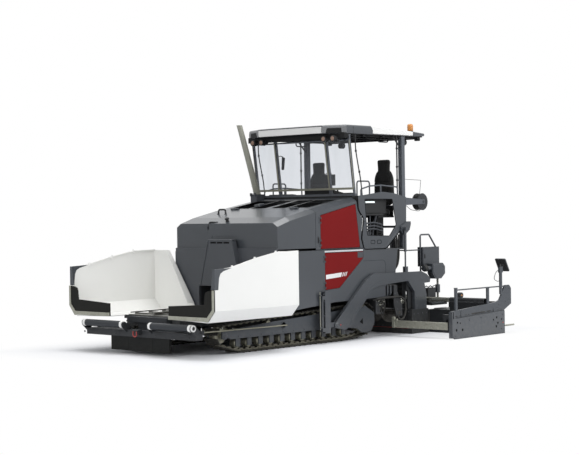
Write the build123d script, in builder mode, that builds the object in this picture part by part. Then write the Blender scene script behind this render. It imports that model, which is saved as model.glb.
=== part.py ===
"""Tracked asphalt paver: tractor with folding hopper, operator platform and telescopic screed.

Millimetres.  +X is the machine's left side, -Y its front, +Z up.  The origin lies on the ground,
under the middle of the overall box.  Pieces that exist on both sides are drawn on the left (+X)
and mirrored about the plane X = 0.
"""
import math
import os

from build123d import *

os.makedirs("parts", exist_ok=True)

# ---------------------------------------------------------------- driving dimensions
plate_t = 10            # body sheet
frame_t = 20            # frame plates
panel_gap = 7           # gap between a door or lid and the body round it
running = 0.05          # radial clearance of a pin or shaft in its bore
seat_gap = 0.3          # gap between a soft piece or a curved one and what carries it
hinge_r, hinge_pin_r = 9, 5
hinge_stand = hinge_r + seat_gap       # hinge axis above its panel's face

body_half = 1197        # lower body, half width
hood_half = 1185        # hood, half width
transport_half = 1275   # basic screed and push beam, half width
bulkhead_y = -1400      # front face of the wall behind the hopper
hood_front_y = -1365
hood_seam_y = -417      # seam between the tilting hood and the fixed one
hood_rear_y = 665
hood_low_z = 1590       # lower edge of the hood sides

# chassis and conveyor tunnel
chassis_half = 800
chassis_rear_y = 1540
chassis_low_z = 300
chassis_top_z = 1020
tunnel_half = 600
tunnel_floor_z = 600
tunnel_top_z = 1000
rail_front_y = -3050    # front end of the conveyor rails
rail_low_z = 430
pin_x, pin_z, pin_r = 655, 572, 14     # hopper hinge pins
barrel_r = 27

# tracks
track_in_x = 830
track_width = 300
link_height = 45
pad_height = 30
pad_pitch = 140
roller_r = 75
roller_first_y, roller_pitch, roller_count = -2190, 262, 11
idler = (-2563, 295, 120)          # y, z, radius
sprocket = (930, 350, 225)
carriers = ((-1450, 410, 60), (-300, 462, 60))
track_out_x = track_in_x + track_width
frame_face_x = track_out_x - 45    # inner face of the outer side plate
cover_x = track_out_x + 5          # inner face of the drive's cover
cover_t = 15

# hopper
wing_front_y, wing_rear_y = -3330, -1432
wing_t = 12
wing_wall_x = 1695
wing_crease_z = 745
wing_corner = (1535, 566)
wing_rear_t = 12
flap_t = 25
strip_t = 14

# push beam
beam_front_y, beam_rear_y = -3345, -3095
beam_low_z, beam_top_z = 285, 390
push_r = 57
push_y, push_z = -3403, 478
push_in_x, push_out_x = 310, 1256
hook_front_y = -3430
hook_z = (330, 410)
hook_pin_r = 18

# operator platform and canopy
floor_z = 1535
floor_t = 25
platform_front_y, platform_rear_y = 692, 2085
canopy_low_z, canopy_top_z = 3568, 3735
canopy_half = 1165
screen_z = (2640, 3460)

# towing arms and screed
arm_in_x = cover_x + cover_t + 57
arm_out_x = arm_in_x + 61
tow_y, tow_z, tow_r = 20, 310, 25
guide_y = (-290, -150)
screed_y = (2100, 2600)
screed_top_z = 440
extension_y = (2622, 3100)
extension_top_z = 420
extension_out_x = 2500
gate_y = (1560, 3143)
gate_t = 35
tube_r = 42
sleeve_wall = 8
sleeve_r = tube_r + sleeve_wall
tube_y = 2665
tube_z = {1: 600, -1: 720}         # the left and the right guide tube pass each other when drawn in
sleeve_x = (250, 505)
housing_x = (extension_out_x - 770, extension_out_x - 20)
tube_x = (380, housing_x[0] + 70)
walkway_y, walkway_z = (2725, 3200), (480, 520)
auger_y, auger_z, auger_r = 1860, 400, 180
auger_shaft_r = 45
auger_in_x, auger_out_x = 62, 1140


# ---------------------------------------------------------------- drawing helpers
def side_plane(x):
    """Plane of a side view: sketch axes run rearward and up, extrusions go to the left."""
    return Plane.YZ.offset(x)


def front_plane(y):
    """Plane of a front view: sketch axes run left and up, extrusions go forward."""
    return Plane.XZ.offset(-y)


def block(x, y, z, mode=Mode.ADD):
    """Box from (low, high) pairs along X, Y and Z."""
    with Locations(tuple((low + high) / 2 for low, high in (x, y, z))):
        Box(x[1] - x[0], y[1] - y[0], z[1] - z[0], mode=mode)


def plate(plane, points, thickness, mode=Mode.ADD, grow=0, corner=0):
    """Plate with a straight-edged outline on a plane, carried along the plane's normal.

    grow widens the outline on every side, corner rounds its corners.
    """
    with BuildSketch(plane, mode=Mode.PRIVATE) as outline:
        with BuildLine():
            Polyline(*points, close=True)
        make_face()
        if corner:
            fillet(outline.vertices(), radius=corner)
        if grow:
            offset(amount=grow, kind=Kind.ARC if corner else Kind.INTERSECTION)
    extrude(to_extrude=outline.sketch, amount=thickness, mode=mode)


def rod(start, end, radius, mode=Mode.ADD):
    """Round bar between two points."""
    run = Vector(*end) - Vector(*start)
    with BuildSketch(Plane(origin=start, z_dir=run), mode=Mode.PRIVATE) as disc:
        Circle(radius)
    extrude(to_extrude=disc.sketch, amount=run.length, mode=mode)


def bent_tube(points, bend, radius):
    """Round tube along straight runs joined by arcs."""
    with BuildLine(mode=Mode.PRIVATE) as path:
        FilletPolyline(*points, radius=bend)
    with BuildSketch(Plane(origin=path.line @ 0, z_dir=path.line % 0), mode=Mode.PRIVATE) as disc:
        Circle(radius)
    sweep(sections=disc.sketch, path=path.line)


def hinge_knuckle(face_x, y, z, height, toward):
    """Upright hinge barrel on a panel's outer face, with a leaf reaching forward (-1) or rearward (1)."""
    with Locations((face_x + hinge_stand, y, z + height / 2)):
        Cylinder(hinge_r, height)
    block((face_x + seat_gap, face_x + hinge_stand), sorted((y, y + toward * 14)), (z, z + height))
    block((face_x, face_x + hinge_r), sorted((y + toward * 12, y + toward * 40)), (z, z + height))


def body_hinges(face_x, y, heights, toward):
    """Fixed knuckles and pins of a door's hinges at the given heights."""
    for z in heights:
        hinge_knuckle(face_x, y, z - 30, 29.5, toward)
        hinge_knuckle(face_x, y, z + 50.5, 29.5, toward)
        rod((face_x + hinge_stand, y, z - 20), (face_x + hinge_stand, y, z + 70), hinge_pin_r)


def door_hinges(face_x, y, heights, toward):
    """Moving knuckles of a door's hinges, bored for the pins."""
    for z in heights:
        hinge_knuckle(face_x, y, z, 50, toward)
        rod((face_x + hinge_stand, y, z - 1), (face_x + hinge_stand, y, z + 51), hinge_pin_r + running,
            mode=Mode.SUBTRACT)


def write_pair(name, left):
    """The left piece and its mirror image, each in its own file."""
    left.label = f"{name}_left"
    export_step(left, f"parts/{name}_left.step")
    right = mirror(left, about=Plane.YZ)
    right.label = f"{name}_right"
    export_step(right, f"parts/{name}_right.step")


# ---------------------------------------------------------------- chassis
with BuildPart() as chassis:
    block((-chassis_half, chassis_half), (hood_front_y, chassis_rear_y), (chassis_low_z, chassis_top_z))
    block((-tunnel_half, tunnel_half), (hood_front_y, chassis_rear_y), (tunnel_floor_z, tunnel_top_z),
          mode=Mode.SUBTRACT)
    block((-chassis_half + frame_t, chassis_half - frame_t),
          (hood_front_y + frame_t, chassis_rear_y - frame_t),
          (chassis_low_z + frame_t, tunnel_floor_z - frame_t), mode=Mode.SUBTRACT)
    for side in (-1, 1):
        void = sorted((side * (tunnel_half + frame_t), side * (chassis_half - frame_t)))
        block(void, (hood_front_y + frame_t, chassis_rear_y - frame_t), (tunnel_floor_z, tunnel_top_z),
              mode=Mode.SUBTRACT)
    # conveyor rails in front of the body
    rail_half = tunnel_half + frame_t
    block((-rail_half, rail_half), (rail_front_y, hood_front_y), (rail_low_z, tunnel_floor_z))
    block((-tunnel_half, tunnel_half), (rail_front_y + frame_t, hood_front_y - frame_t),
          (rail_low_z, tunnel_floor_z - frame_t), mode=Mode.SUBTRACT)
    # hinge lugs and pins of the hopper wings
    lug_t = 30
    lug_ys = [wing_rear_y - 8 - k * (wing_rear_y - rail_front_y - 38) / 3 for k in range(4)]
    for side in (-1, 1):
        for y in lug_ys:
            lug_x = sorted((side * rail_half, side * (pin_x + barrel_r)))
            block(lug_x, (y - lug_t, y), (pin_z - barrel_r, pin_z + barrel_r))
        rod((side * pin_x, lug_ys[0], pin_z), (side * pin_x, lug_ys[-1] - lug_t, pin_z), pin_r)
chassis.part.label = "chassis"
export_step(chassis.part, "parts/chassis.step")

with BuildPart() as engine_block:
    block((-450, 450), (-950, 350), (chassis_top_z, 1900))
    block((-780, 780), (720, 1500), (chassis_top_z, floor_z))
engine_block.part.label = "engine_block"
export_step(engine_block.part, "parts/engine_block.step")

# two slat conveyors side by side on the tunnel floor
slat_pitch = 300
with BuildPart() as conveyors:
    for side in (-1, 1):
        lane = sorted((side * 22, side * 588))
        block(lane, (rail_front_y + 10, chassis_rear_y), (tunnel_floor_z, tunnel_floor_z + 12))
        for k in range(15):
            y = rail_front_y + 150 + k * slat_pitch
            block(lane, (y, y + 45), (tunnel_floor_z + 12, tunnel_floor_z + 32))
    block((-20, 20), (rail_front_y + 10, chassis_rear_y), (tunnel_floor_z, tunnel_floor_z + 60))
conveyors.part.label = "conveyors"
export_step(conveyors.part, "parts/conveyors.step")

# wall behind the hopper, with the tunnel mouth and the tapered guard between the folded wings
guard_top_z, guard_low_z = 1785, 1010
guard_front_y = -1510
with BuildPart() as hopper_bulkhead:
    block((-body_half + plate_t, body_half - plate_t), (bulkhead_y, hood_front_y), (620, 1640))
    block((-tunnel_half, tunnel_half), (bulkhead_y, hood_front_y), (620, tunnel_top_z), mode=Mode.SUBTRACT)
    plate(front_plane(bulkhead_y),
          [(-470, guard_low_z), (470, guard_low_z), (270, guard_top_z), (-270, guard_top_z)],
          bulkhead_y - guard_front_y)
    block((-250, 250), (guard_front_y + plate_t, bulkhead_y), (1150, guard_top_z - plate_t),
          mode=Mode.SUBTRACT)
hopper_bulkhead.part.label = "hopper_bulkhead"
export_step(hopper_bulkhead.part, "parts/hopper_bulkhead.step")


# ---------------------------------------------------------------- hood
def hood_height(y):
    """Height of the hood's upper side edge, below the bevel."""
    nodes = [(hood_front_y, 1992), (-1063, 2086), (hood_seam_y, 2222), (hood_rear_y, 2411)]
    for (y0, z0), (y1, z1) in zip(nodes, nodes[1:]):
        if y <= y1 or y1 == hood_rear_y:
            return z0 + (z1 - z0) * (y - y0) / (y1 - y0)


bevel_w, bevel_h = 100, 64
hood_pin_r = 8
hood_hinge_xs = (-700, 700)


def hood_solid(y0, y1, inset):
    """Bevelled hood body between two stations, shrunk by inset on its top, sides and front."""
    breaks = [y0] + [y for y in (-1063,) if y0 < y < y1] + [y1]
    half = hood_half - inset
    for a, b in zip(breaks, breaks[1:]):
        rise = hood_height(b) - hood_height(a)
        top = hood_height(a) - inset * 0.6
        low = hood_low_z - 400
        section = [(-half, low), (half, low), (half, top), (half - bevel_w, top + bevel_h),
                   (-half + bevel_w, top + bevel_h), (-half, top)]
        with BuildSketch(front_plane(a), mode=Mode.PRIVATE) as outline:
            with BuildLine():
                Polyline(*section, close=True)
            make_face()
        extrude(to_extrude=outline.sketch, amount=math.hypot(b - a, rise), dir=(0, b - a, rise))


with BuildPart() as tilting_hood:
    hood_solid(hood_front_y, hood_seam_y - panel_gap / 2, 0)
    with BuildPart(mode=Mode.PRIVATE) as hollow:
        hood_solid(hood_front_y + plate_t, hood_seam_y + 200, plate_t)
    add(hollow.part, mode=Mode.SUBTRACT)
    block((-1300, 1300), (-1500, 0), (1000, hood_low_z + 30), mode=Mode.SUBTRACT)
    # the face is cut away behind the hopper guard
    block((-330, 330), (hood_front_y - 1, hood_front_y + plate_t + 1), (hood_low_z, guard_top_z + 60),
          mode=Mode.SUBTRACT)
    seam_z = hood_height(hood_seam_y) + bevel_h + hood_pin_r + 10
    for x in hood_hinge_xs:
        rod((x - 40, hood_seam_y, seam_z), (x + 40, hood_seam_y, seam_z), hood_pin_r + 6)
        block((x - 40, x + 40), (hood_seam_y - 40, hood_seam_y), (seam_z - hood_pin_r - 22, seam_z))
        rod((x - 41, hood_seam_y, seam_z), (x + 41, hood_seam_y, seam_z), hood_pin_r + running,
            mode=Mode.SUBTRACT)
tilting_hood.part.label = "tilting_hood"
export_step(tilting_hood.part, "parts/tilting_hood.step")


# fixed part of the hood: vents in its top, door openings in its sides
vents = [(60, 410), (465, 930)]            # x ranges on the left half
vent_y = (-310, 430)
engine_door = [(-285, 1606), (-285, 2168), (640, 2352), (752, 1606)]
engine_hinge_y = -285 - panel_gap / 2
hood_return = [(655, 1590), (655, 2400), (672, 2400), (700, 2250), (838, 2092), (780, 1750), (845, 1590)]
engine_hinge_zs = (1680, 2060)
with BuildPart() as fixed_hood:
    hood_solid(hood_seam_y + panel_gap / 2, hood_rear_y, 0)
    with BuildPart(mode=Mode.PRIVATE) as hollow:
        hood_solid(hood_seam_y - 100, hood_rear_y - plate_t, plate_t)
    add(hollow.part, mode=Mode.SUBTRACT)
    block((-1300, 1300), (-1500, 900), (1000, hood_low_z), mode=Mode.SUBTRACT)
    for low, high in vents:
        block((low, high), vent_y, (2150, 2600), mode=Mode.SUBTRACT)
        block((-high, -low), vent_y, (2150, 2600), mode=Mode.SUBTRACT)
    plate(side_plane(hood_half - plate_t), hood_return, plate_t)
    plate(side_plane(-hood_half), hood_return, plate_t)
    for face in (hood_half - plate_t - 1, -hood_half - 1):
        plate(side_plane(face), engine_door, plate_t + 2, mode=Mode.SUBTRACT, grow=panel_gap)
    body_hinges(hood_half, engine_hinge_y, engine_hinge_zs, -1)
    with BuildPart(mode=Mode.PRIVATE) as left_hinges:
        body_hinges(hood_half, engine_hinge_y, engine_hinge_zs, -1)
    add(mirror(left_hinges.part, about=Plane.YZ))
    # hinge rod of the tilting hood
    seam_z = hood_height(hood_seam_y) + bevel_h + hood_pin_r + 10
    for x in hood_hinge_xs:
        for a, b in ((x - 90, x - 42), (x + 42, x + 90)):
            rod((a, hood_seam_y, seam_z), (b, hood_seam_y, seam_z), hood_pin_r + 6)
            block((a, b), (hood_seam_y, hood_seam_y + 40), (seam_z - hood_pin_r - 22, seam_z))
        rod((x - 60, hood_seam_y, seam_z), (x + 60, hood_seam_y, seam_z), hood_pin_r)
fixed_hood.part.label = "fixed_hood"
export_step(fixed_hood.part, "parts/fixed_hood.step")

with BuildPart() as engine_door_left:
    plate(side_plane(hood_half - plate_t), engine_door, plate_t, corner=25)
    door_hinges(hood_half, engine_hinge_y, engine_hinge_zs, 1)
write_pair("engine_door", engine_door_left.part)

# ---------------------------------------------------------------- lower body
side_outline = [(bulkhead_y, 575), (70, 689), (900, 696), (1440, 713), (1440, 880), (1560, 1000),
                (1735, 1124), (1800, floor_z), (860, floor_z), (860, 1580), (bulkhead_y, 1580)]
fender_line = [(bulkhead_y, 575), (70, 689), (900, 696), (1440, 713), (1440, 723), (900, 706), (70, 699),
               (bulkhead_y, 585)]
service_door = [(-195, 908), (-195, 1530), (818, 1530), (818, 1414), (175, 929)]
service_hinge_y = -195 - panel_gap / 2
service_hinge_zs = (960, 1400)
with BuildPart() as side_panels:
    plate(side_plane(body_half - plate_t), side_outline, plate_t)
    plate(side_plane(chassis_half), fender_line, body_half - plate_t - chassis_half)
    block((chassis_half, body_half - plate_t), (bulkhead_y + 40, bulkhead_y + 50), (590, 1560))
    block((chassis_half, body_half - plate_t), (1430, 1440), (713, 1010))
    block((1150, body_half - plate_t), (bulkhead_y + 40, 850), (1570, 1580))
    plate(side_plane(body_half - plate_t - 1), service_door, plate_t + 2, mode=Mode.SUBTRACT,
          grow=panel_gap)
    body_hinges(body_half, service_hinge_y, service_hinge_zs, -1)
    mirror(about=Plane.YZ)
side_panels.part.label = "side_panels"
export_step(side_panels.part, "parts/side_panels.step")

with BuildPart() as service_door_left:
    plate(side_plane(body_half - plate_t), service_door, plate_t)
    door_hinges(body_half, service_hinge_y, service_hinge_zs, 1)
write_pair("service_door", service_door_left.part)


# ---------------------------------------------------------------- tracks
last_roller_y = roller_first_y + roller_pitch * (roller_count - 1)
roller_z = roller_r + link_height + pad_height
belt_wheels = [idler, sprocket, *carriers, (roller_first_y, roller_z, roller_r),
               (last_roller_y, roller_z, roller_r)]
chain_x = (track_in_x + track_width / 2 - 45, track_in_x + track_width / 2 + 45)


def belt_outline(extra):
    """Outline stretched round the track's wheels, grown by extra."""
    with BuildSketch(mode=Mode.PRIVATE) as belt:
        with BuildLine():
            for y, z, radius in belt_wheels:
                CenterArc((y, z), radius + extra, 0, 360)
        make_hull()
    return belt.sketch


with BuildPart() as track_left:
    with BuildSketch(side_plane(chain_x[0])):
        add(belt_outline(link_height))
        add(belt_outline(0), mode=Mode.SUBTRACT)
    extrude(amount=chain_x[1] - chain_x[0])
    tread = belt_outline(link_height + 12)
    rim = tread.faces()[0].outer_wire()
    pad_count = round(rim.length / pad_pitch)
    with BuildSketch(side_plane(track_in_x)):
        add(tread)
        add(belt_outline(link_height - 8), mode=Mode.SUBTRACT)
        for k in range(pad_count):
            spot = rim.position_at(k / pad_count)
            along = rim.tangent_at(k / pad_count)
            turn = math.degrees(math.atan2(along.Y, along.X))
            with Locations(Location((spot.X, spot.Y, 0), (0, 0, turn))):
                Rectangle(pad_pitch * 0.78, 2 * (pad_height - 12))
        add(belt_outline(link_height - 8), mode=Mode.SUBTRACT)
    extrude(amount=track_width)
write_pair("track", track_left.part)

frame_plate = [(-2420, 235), (-2420, 385), (-1450, 445), (-300, 500), (640, 540), (640, 235)]
cover_outline = [(350, 235), (720, 505), (905, 580), (1165, 440), (1172, 265), (1065, 118), (820, 112),
                 (680, 195)]
rod_x, rod_z, rod_hole_y = track_out_x + 50, 378, -1160      # return rods beside the tracks
with BuildPart() as track_frames:
    block((chassis_half, frame_face_x), (-2400, 660), (240, 335))
    plate(side_plane(frame_face_x), frame_plate, 15)
    with Locations(Plane.YZ.offset(frame_face_x)):
        with Locations((rod_hole_y, rod_z)):
            Cylinder(48, 60, mode=Mode.SUBTRACT)
    plate(side_plane(cover_x), cover_outline, cover_t)
    block((frame_face_x + 15, cover_x), (420, 600), (275, 460))
    for k in range(roller_count):
        y = roller_first_y + k * roller_pitch
        for x in ((chain_x[0] - 32, chain_x[0] - 8), (chain_x[1] + 8, chain_x[1] + 32)):
            block(x, (y - 50, y + 50), (105, 240))
    for y, z, radius in carriers:
        rod((chassis_half, y, z), (frame_face_x, y, z), 20)
    rod((chassis_half, *idler[:2]), (chassis_half + 60, *idler[:2]), 70)
    block((chassis_half, chassis_half + 30), (idler[0] - 70, -2380), (idler[1] - 60, idler[1] + 60))
    block((frame_face_x, frame_face_x + 15), (idler[0] - 40, -2380), (idler[1] - 40, idler[1] + 70))
    rod((chassis_half, *sprocket[:2]), (chain_x[0] - 6, *sprocket[:2]), 150)
    mirror(about=Plane.YZ)
track_frames.part.label = "track_frames"
export_step(track_frames.part, "parts/track_frames.step")

with BuildPart() as track_wheels:
    for k in range(roller_count):
        y = roller_first_y + k * roller_pitch
        rod((chain_x[0] - 8, y, roller_z), (chain_x[1] + 8, y, roller_z), 30)
        rod((chain_x[0], y, roller_z), (chain_x[1], y, roller_z), roller_r - seat_gap)
    for y, z, radius in carriers:
        rod((chain_x[0], y, z), (chain_x[1], y, z), radius - seat_gap)
        rod((chain_x[0] - 1, y, z), (chain_x[1] + 1, y, z), 20 + seat_gap, mode=Mode.SUBTRACT)
    rod((chassis_half + 60, *idler[:2]), (frame_face_x, *idler[:2]), 40)
    rod((chain_x[0], *idler[:2]), (chain_x[1], *idler[:2]), idler[2] - seat_gap)
    rod((chain_x[0], *sprocket[:2]), (chain_x[1], *sprocket[:2]), sprocket[2] - seat_gap)
    rod((chain_x[0] - 6, *sprocket[:2]), (cover_x, *sprocket[:2]), 110)
    mirror(about=Plane.YZ)
track_wheels.part.label = "track_wheels"
export_step(track_wheels.part, "parts/track_wheels.step")

# ---------------------------------------------------------------- push beam
with BuildPart() as push_beam:
    plate(Plane.XY.offset(beam_low_z),
          [(-transport_half, beam_front_y), (transport_half, beam_front_y), (transport_half, -3190),
           (1100, beam_rear_y), (-1100, beam_rear_y), (-transport_half, -3190)], beam_top_z - beam_low_z)
    block((-300, 300), (beam_rear_y, rail_front_y), (330, 560))
    block((-450, 450), (-3170, rail_front_y), (500, 590))
    block((-680, 680), (-3335, -3290), (62, beam_low_z))
    for side in (-1, 1):
        for x in ((push_in_x - 22, push_in_x - 6), (push_out_x + 6, transport_half)):
            cheek = sorted((side * x[0], side * x[1]))
            plate(side_plane(cheek[0]),
                  [(beam_front_y + 90, beam_top_z - 40), (beam_front_y + 90, beam_top_z + 50),
                   (push_y + 20, push_z + 45), (push_y - 40, push_z + 30), (push_y - 40, push_z - 40),
                   (beam_front_y - 2, beam_top_z - 40)], cheek[1] - cheek[0])
        rod((side * (push_in_x - 22), push_y, push_z), (side * transport_half, push_y, push_z), 18)
        # return rods along the tracks, their eyes on the beam's ends
        block(sorted((side * (rod_x - 15), side * (rod_x + 15))), (-3190, -3080), (350, 420))
        rod((side * rod_x, -3080, 392), (side * rod_x, rod_hole_y, rod_z), 9)
        block(sorted((side * (frame_face_x + 15), side * (rod_x + 9))), (rod_hole_y - 12, rod_hole_y + 12),
              (rod_z - 12, rod_z + 12))
    # coupling block of the tow hook
    block((-70, 70), (hook_front_y, beam_front_y), hook_z)
    with Locations((0, hook_front_y + 38, sum(hook_z) / 2)):
        Cylinder(hook_pin_r, 100, mode=Mode.SUBTRACT)
push_beam.part.label = "push_beam"
export_step(push_beam.part, "parts/push_beam.step")

with BuildPart() as push_roller_left:
    rod((push_in_x, push_y, push_z), (push_out_x, push_y, push_z), push_r)
    rod((push_in_x - 1, push_y, push_z), (push_out_x + 1, push_y, push_z), 18 + running, mode=Mode.SUBTRACT)
write_pair("push_roller", push_roller_left.part)

# bow shackle hanging on the coupling block
with BuildPart() as tow_shackle:
    shackle_y = hook_front_y - 8 - seat_gap
    bent_tube([(-38, shackle_y, 400), (-44, shackle_y, 300), (44, shackle_y, 300), (38, shackle_y, 400)],
              38, 8)
tow_shackle.part.label = "tow_shackle"
export_step(tow_shackle.part, "parts/tow_shackle.step")

# ---------------------------------------------------------------- hopper wings
wing_section = [(pin_x, 590), wing_corner, (wing_wall_x, wing_crease_z), (wing_wall_x, 1640),
                (wing_wall_x - wing_t, 1640), (wing_wall_x - wing_t, wing_crease_z + 5),
                (wing_corner[0] - 5, wing_corner[1] + wing_t), (pin_x, 590 + wing_t)]
wing_top = [(wing_front_y - 1, 1378), (-3180, 1384), (-2937, 1410), (-2430, 1522), (-1947, 1603),
            (wing_rear_y + 1, 1612), (wing_rear_y + 1, 1700), (wing_front_y - 1, 1700)]
end_plate = [(pin_x + 30, 605), (wing_corner[0] - 6, wing_corner[1] + wing_t),
             (wing_wall_x - wing_t, wing_crease_z + 6), (wing_wall_x - wing_t, 1600), (1305, 1600),
             (720, 705)]
with BuildPart() as hopper_wing_left:
    plate(front_plane(wing_rear_y), wing_section, wing_rear_y - wing_front_y)
    plate(side_plane(wing_wall_x - 50), wing_top, 100, mode=Mode.SUBTRACT)
    plate(front_plane(wing_rear_y), end_plate, wing_rear_t)
    # flange along the end plate's sloping edge, deeper at its foot
    edge_angle = math.atan2(1600 - 705, 1305 - 720)
    edge_length = math.hypot(1600 - 705, 1305 - 720)
    edge_plane = Plane(origin=(720, wing_rear_y, 705),
                       x_dir=(math.cos(edge_angle), 0, math.sin(edge_angle)),
                       z_dir=(math.sin(edge_angle), 0, -math.cos(edge_angle)))
    plate(edge_plane, [(0, 0), (edge_length, 0), (edge_length, 65), (0, 150)], wing_t)
    # hinge barrels between the chassis lugs
    for rear, front in zip(lug_ys, lug_ys[1:]):
        rod((pin_x, rear - lug_t - 4, pin_z), (pin_x, front + 4, pin_z), barrel_r)
        rod((pin_x, rear - lug_t - 3, pin_z), (pin_x, front + 3, pin_z), pin_r + running,
            mode=Mode.SUBTRACT)
    for y in lug_ys:
        block((pin_x - 40, pin_x + barrel_r + 8), (y - lug_t - 5, y + 5),
              (pin_z - 40, pin_z + barrel_r + 6), mode=Mode.SUBTRACT)
    rod((pin_x, wing_rear_y, pin_z), (pin_x, wing_front_y, pin_z), pin_r + running, mode=Mode.SUBTRACT)
write_pair("hopper_wing", hopper_wing_left.part)

rubber_outline = [(690, 600), (1480, 600), (1560, 592), (1690, 748), (1690, 1062), (1590, 1062),
                  (1485, 1035), (1468, 842), (1380, 838), (690, 800)]
strip_outline = [(690, 590), (1475, 590), (1562, 580), (wing_wall_x, wing_crease_z - 6),
                 (wing_wall_x, 1066), (1655, 1066), (1655, 770), (1545, 650), (690, 650)]
with BuildPart() as hopper_flap_left:
    plate(front_plane(wing_front_y), rubber_outline, flap_t)
    plate(front_plane(wing_front_y - flap_t), strip_outline, strip_t)
write_pair("hopper_flap", hopper_flap_left.part)


# ---------------------------------------------------------------- operator platform
platform_side_x = hood_half - 12
platform_outline = [(868, 2511), (700, 2499), (718, 2255), (862, 2102), (800, 1753), (868, 1560),
                    (1500, 1560), (1725, 1732), (2085, 2014), (2095, 2474), (1724, 2547), (1397, 2570)]
window_outline = [(904, 2441), (1683, 2439), (1790, 1983), (1590, 1783), (964, 1808)]
lift_top = (1980, 1900)        # y, z of the lift cylinders' upper pins
lift_eye = (1975, 1190)        # y, z of their rod eyes
lift_x = 1237.5
lift_pin_r = 16
with BuildPart() as platform_floor:
    block((-body_half + plate_t, body_half - plate_t), (platform_front_y, platform_rear_y),
          (floor_z, floor_z + floor_t))
    # steps up from the screed
    for x in (-280, 250):
        block((x, x + 30), (platform_rear_y, platform_rear_y + 60), (930, floor_z + floor_t))
    for z in (950, 1250):
        block((-250, 250), (platform_rear_y, platform_rear_y + 60), (z, z + 30))
platform_floor.part.label = "platform_floor"
export_step(platform_floor.part, "parts/platform_floor.step")

with BuildPart() as platform_sides:
    plate(side_plane(platform_side_x), platform_outline, 12)
    plate(side_plane(platform_side_x - 1), window_outline, 14, mode=Mode.SUBTRACT)
    # bracket of the lift cylinder
    plate(side_plane(hood_half),
          [(1900, 1868), (1940, 1820), (2022, 1798), (2150, 1880), (2190, 1985), (2185, 2035), (2085, 2035),
           (1900, 1950)], 26)
    rod((hood_half + 20, *lift_top), (1275, *lift_top), lift_pin_r)
    block((1264, 1275), (lift_top[0] - 28, lift_top[0] + 28), (lift_top[1] - 28, lift_top[1] + 28))
    mirror(about=Plane.YZ)
platform_sides.part.label = "platform_sides"
export_step(platform_sides.part, "parts/platform_sides.step")

rail_r = 13
reel_axis = (2700, 2390)
reel_x = (972, 1102)
with BuildPart() as platform_rails:
    rail_x = platform_side_x - 12 - rail_r
    bent_tube([(rail_x, 850, 2470), (rail_x, 844, 2616), (rail_x, 1099, 2672), (rail_x, 1417, 2686),
               (rail_x, 1884, 2657), (rail_x, 1890, 2480)], 40, rail_r)
    rod((rail_x, 1400, 2500), (rail_x, 1400, 2685), rail_r)
    for y, z in ((850, 2450), (1400, 2480), (1890, 2460)):
        block((rail_x - 4, platform_side_x), (y - 16, y + 16), (z, z + 45))
    # loop beside each seat
    bent_tube([(1000, 920, 2500), (1000, 920, 2760), (1000, 1270, 2760), (1000, 1270, 1700),
               (platform_side_x, 1270, 1700)], 50, rail_r)
    # rear guard rails either side of the steps
    block((330, 370), (2035, 2075), (floor_z + floor_t, 2330))
    for z in (1920, 2290):
        block((370, 1090), (2035, 2075), (z, z + 40))
    mirror(about=Plane.YZ)
    # carrier of the hose reel
    plate(side_plane(1108),
          [(2085, 2100), (2150, 2100), (2170, 2330), (2740, 2350), (2740, 2430), (2120, 2470),
           (2085, 2440)], 12)
    rod((1108, *reel_axis), (reel_x[0] - 6, *reel_axis), 18)
platform_rails.part.label = "platform_rails"
export_step(platform_rails.part, "parts/platform_rails.step")

with BuildPart() as hose_reel:
    for x in ((reel_x[0], reel_x[0] + 12), (reel_x[1] - 12, reel_x[1])):
        rod((x[0], *reel_axis), (x[1], *reel_axis), 155)
    rod((reel_x[0], *reel_axis), (reel_x[1], *reel_axis), 138)
    rod((reel_x[0] - 1, *reel_axis), (reel_x[1] + 1, *reel_axis), 18 + running, mode=Mode.SUBTRACT)
hose_reel.part.label = "hose_reel"
export_step(hose_reel.part, "parts/hose_reel.step")

dash_top_z = 2500
with BuildPart() as dashboard:
    block((-1050, 1050), (700, 950), (floor_z + floor_t, dash_top_z))
dashboard.part.label = "dashboard"
export_step(dashboard.part, "parts/dashboard.step")

console_z = (2400, 2620)
with BuildPart() as operator_console:
    block((-60, 60), (1150, 1250), (floor_z + floor_t, console_z[0]))
    plate(side_plane(-350),
          [(1060, console_z[0]), (1330, console_z[0]), (1380, 2560), (1060, console_z[1])], 700)
    rod((160, 1150, 2560), (160, 1150, 2720), 18)
    block((20, 300), (1130, 1170), (2700, 2900))
operator_console.part.label = "operator_console"
export_step(operator_console.part, "parts/operator_console.step")

# two operator seats
seat_x = 780
seat_top_z = 2270
with BuildPart() as seat_bases:
    block((seat_x - 90, seat_x + 90), (1620, 1820), (floor_z + floor_t, 2110))
    block((seat_x - 230, seat_x + 230), (1500, 1950), (2110, 2140))
    block((seat_x - 200, seat_x + 200), (1950, 1975), (2110, 2300))
    mirror(about=Plane.YZ)
seat_bases.part.label = "seat_bases"
export_step(seat_bases.part, "parts/seat_bases.step")

with BuildPart() as seat_cushions:
    block((seat_x - 250, seat_x + 250), (1470, 1940), (2140 + seat_gap, seat_top_z))
    fillet(seat_cushions.edges().filter_by(Axis.Z), radius=50)
    mirror(about=Plane.YZ)
seat_cushions.part.label = "seat_cushions"
export_step(seat_cushions.part, "parts/seat_cushions.step")

with BuildPart() as seat_backs:
    back = [(seat_x - 190, 2300 + seat_gap), (seat_x + 190, 2300 + seat_gap), (seat_x + 250, 2500),
            (seat_x + 240, 2850), (seat_x + 140, 2990), (seat_x + 140, 3160), (seat_x + 90, 3190),
            (seat_x - 90, 3190), (seat_x - 140, 3160), (seat_x - 140, 2990), (seat_x - 240, 2850),
            (seat_x - 250, 2500)]
    plate(front_plane(2025), back, 110)
    mirror(about=Plane.YZ)
seat_backs.part.label = "seat_backs"
export_step(seat_backs.part, "parts/seat_backs.step")

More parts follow.
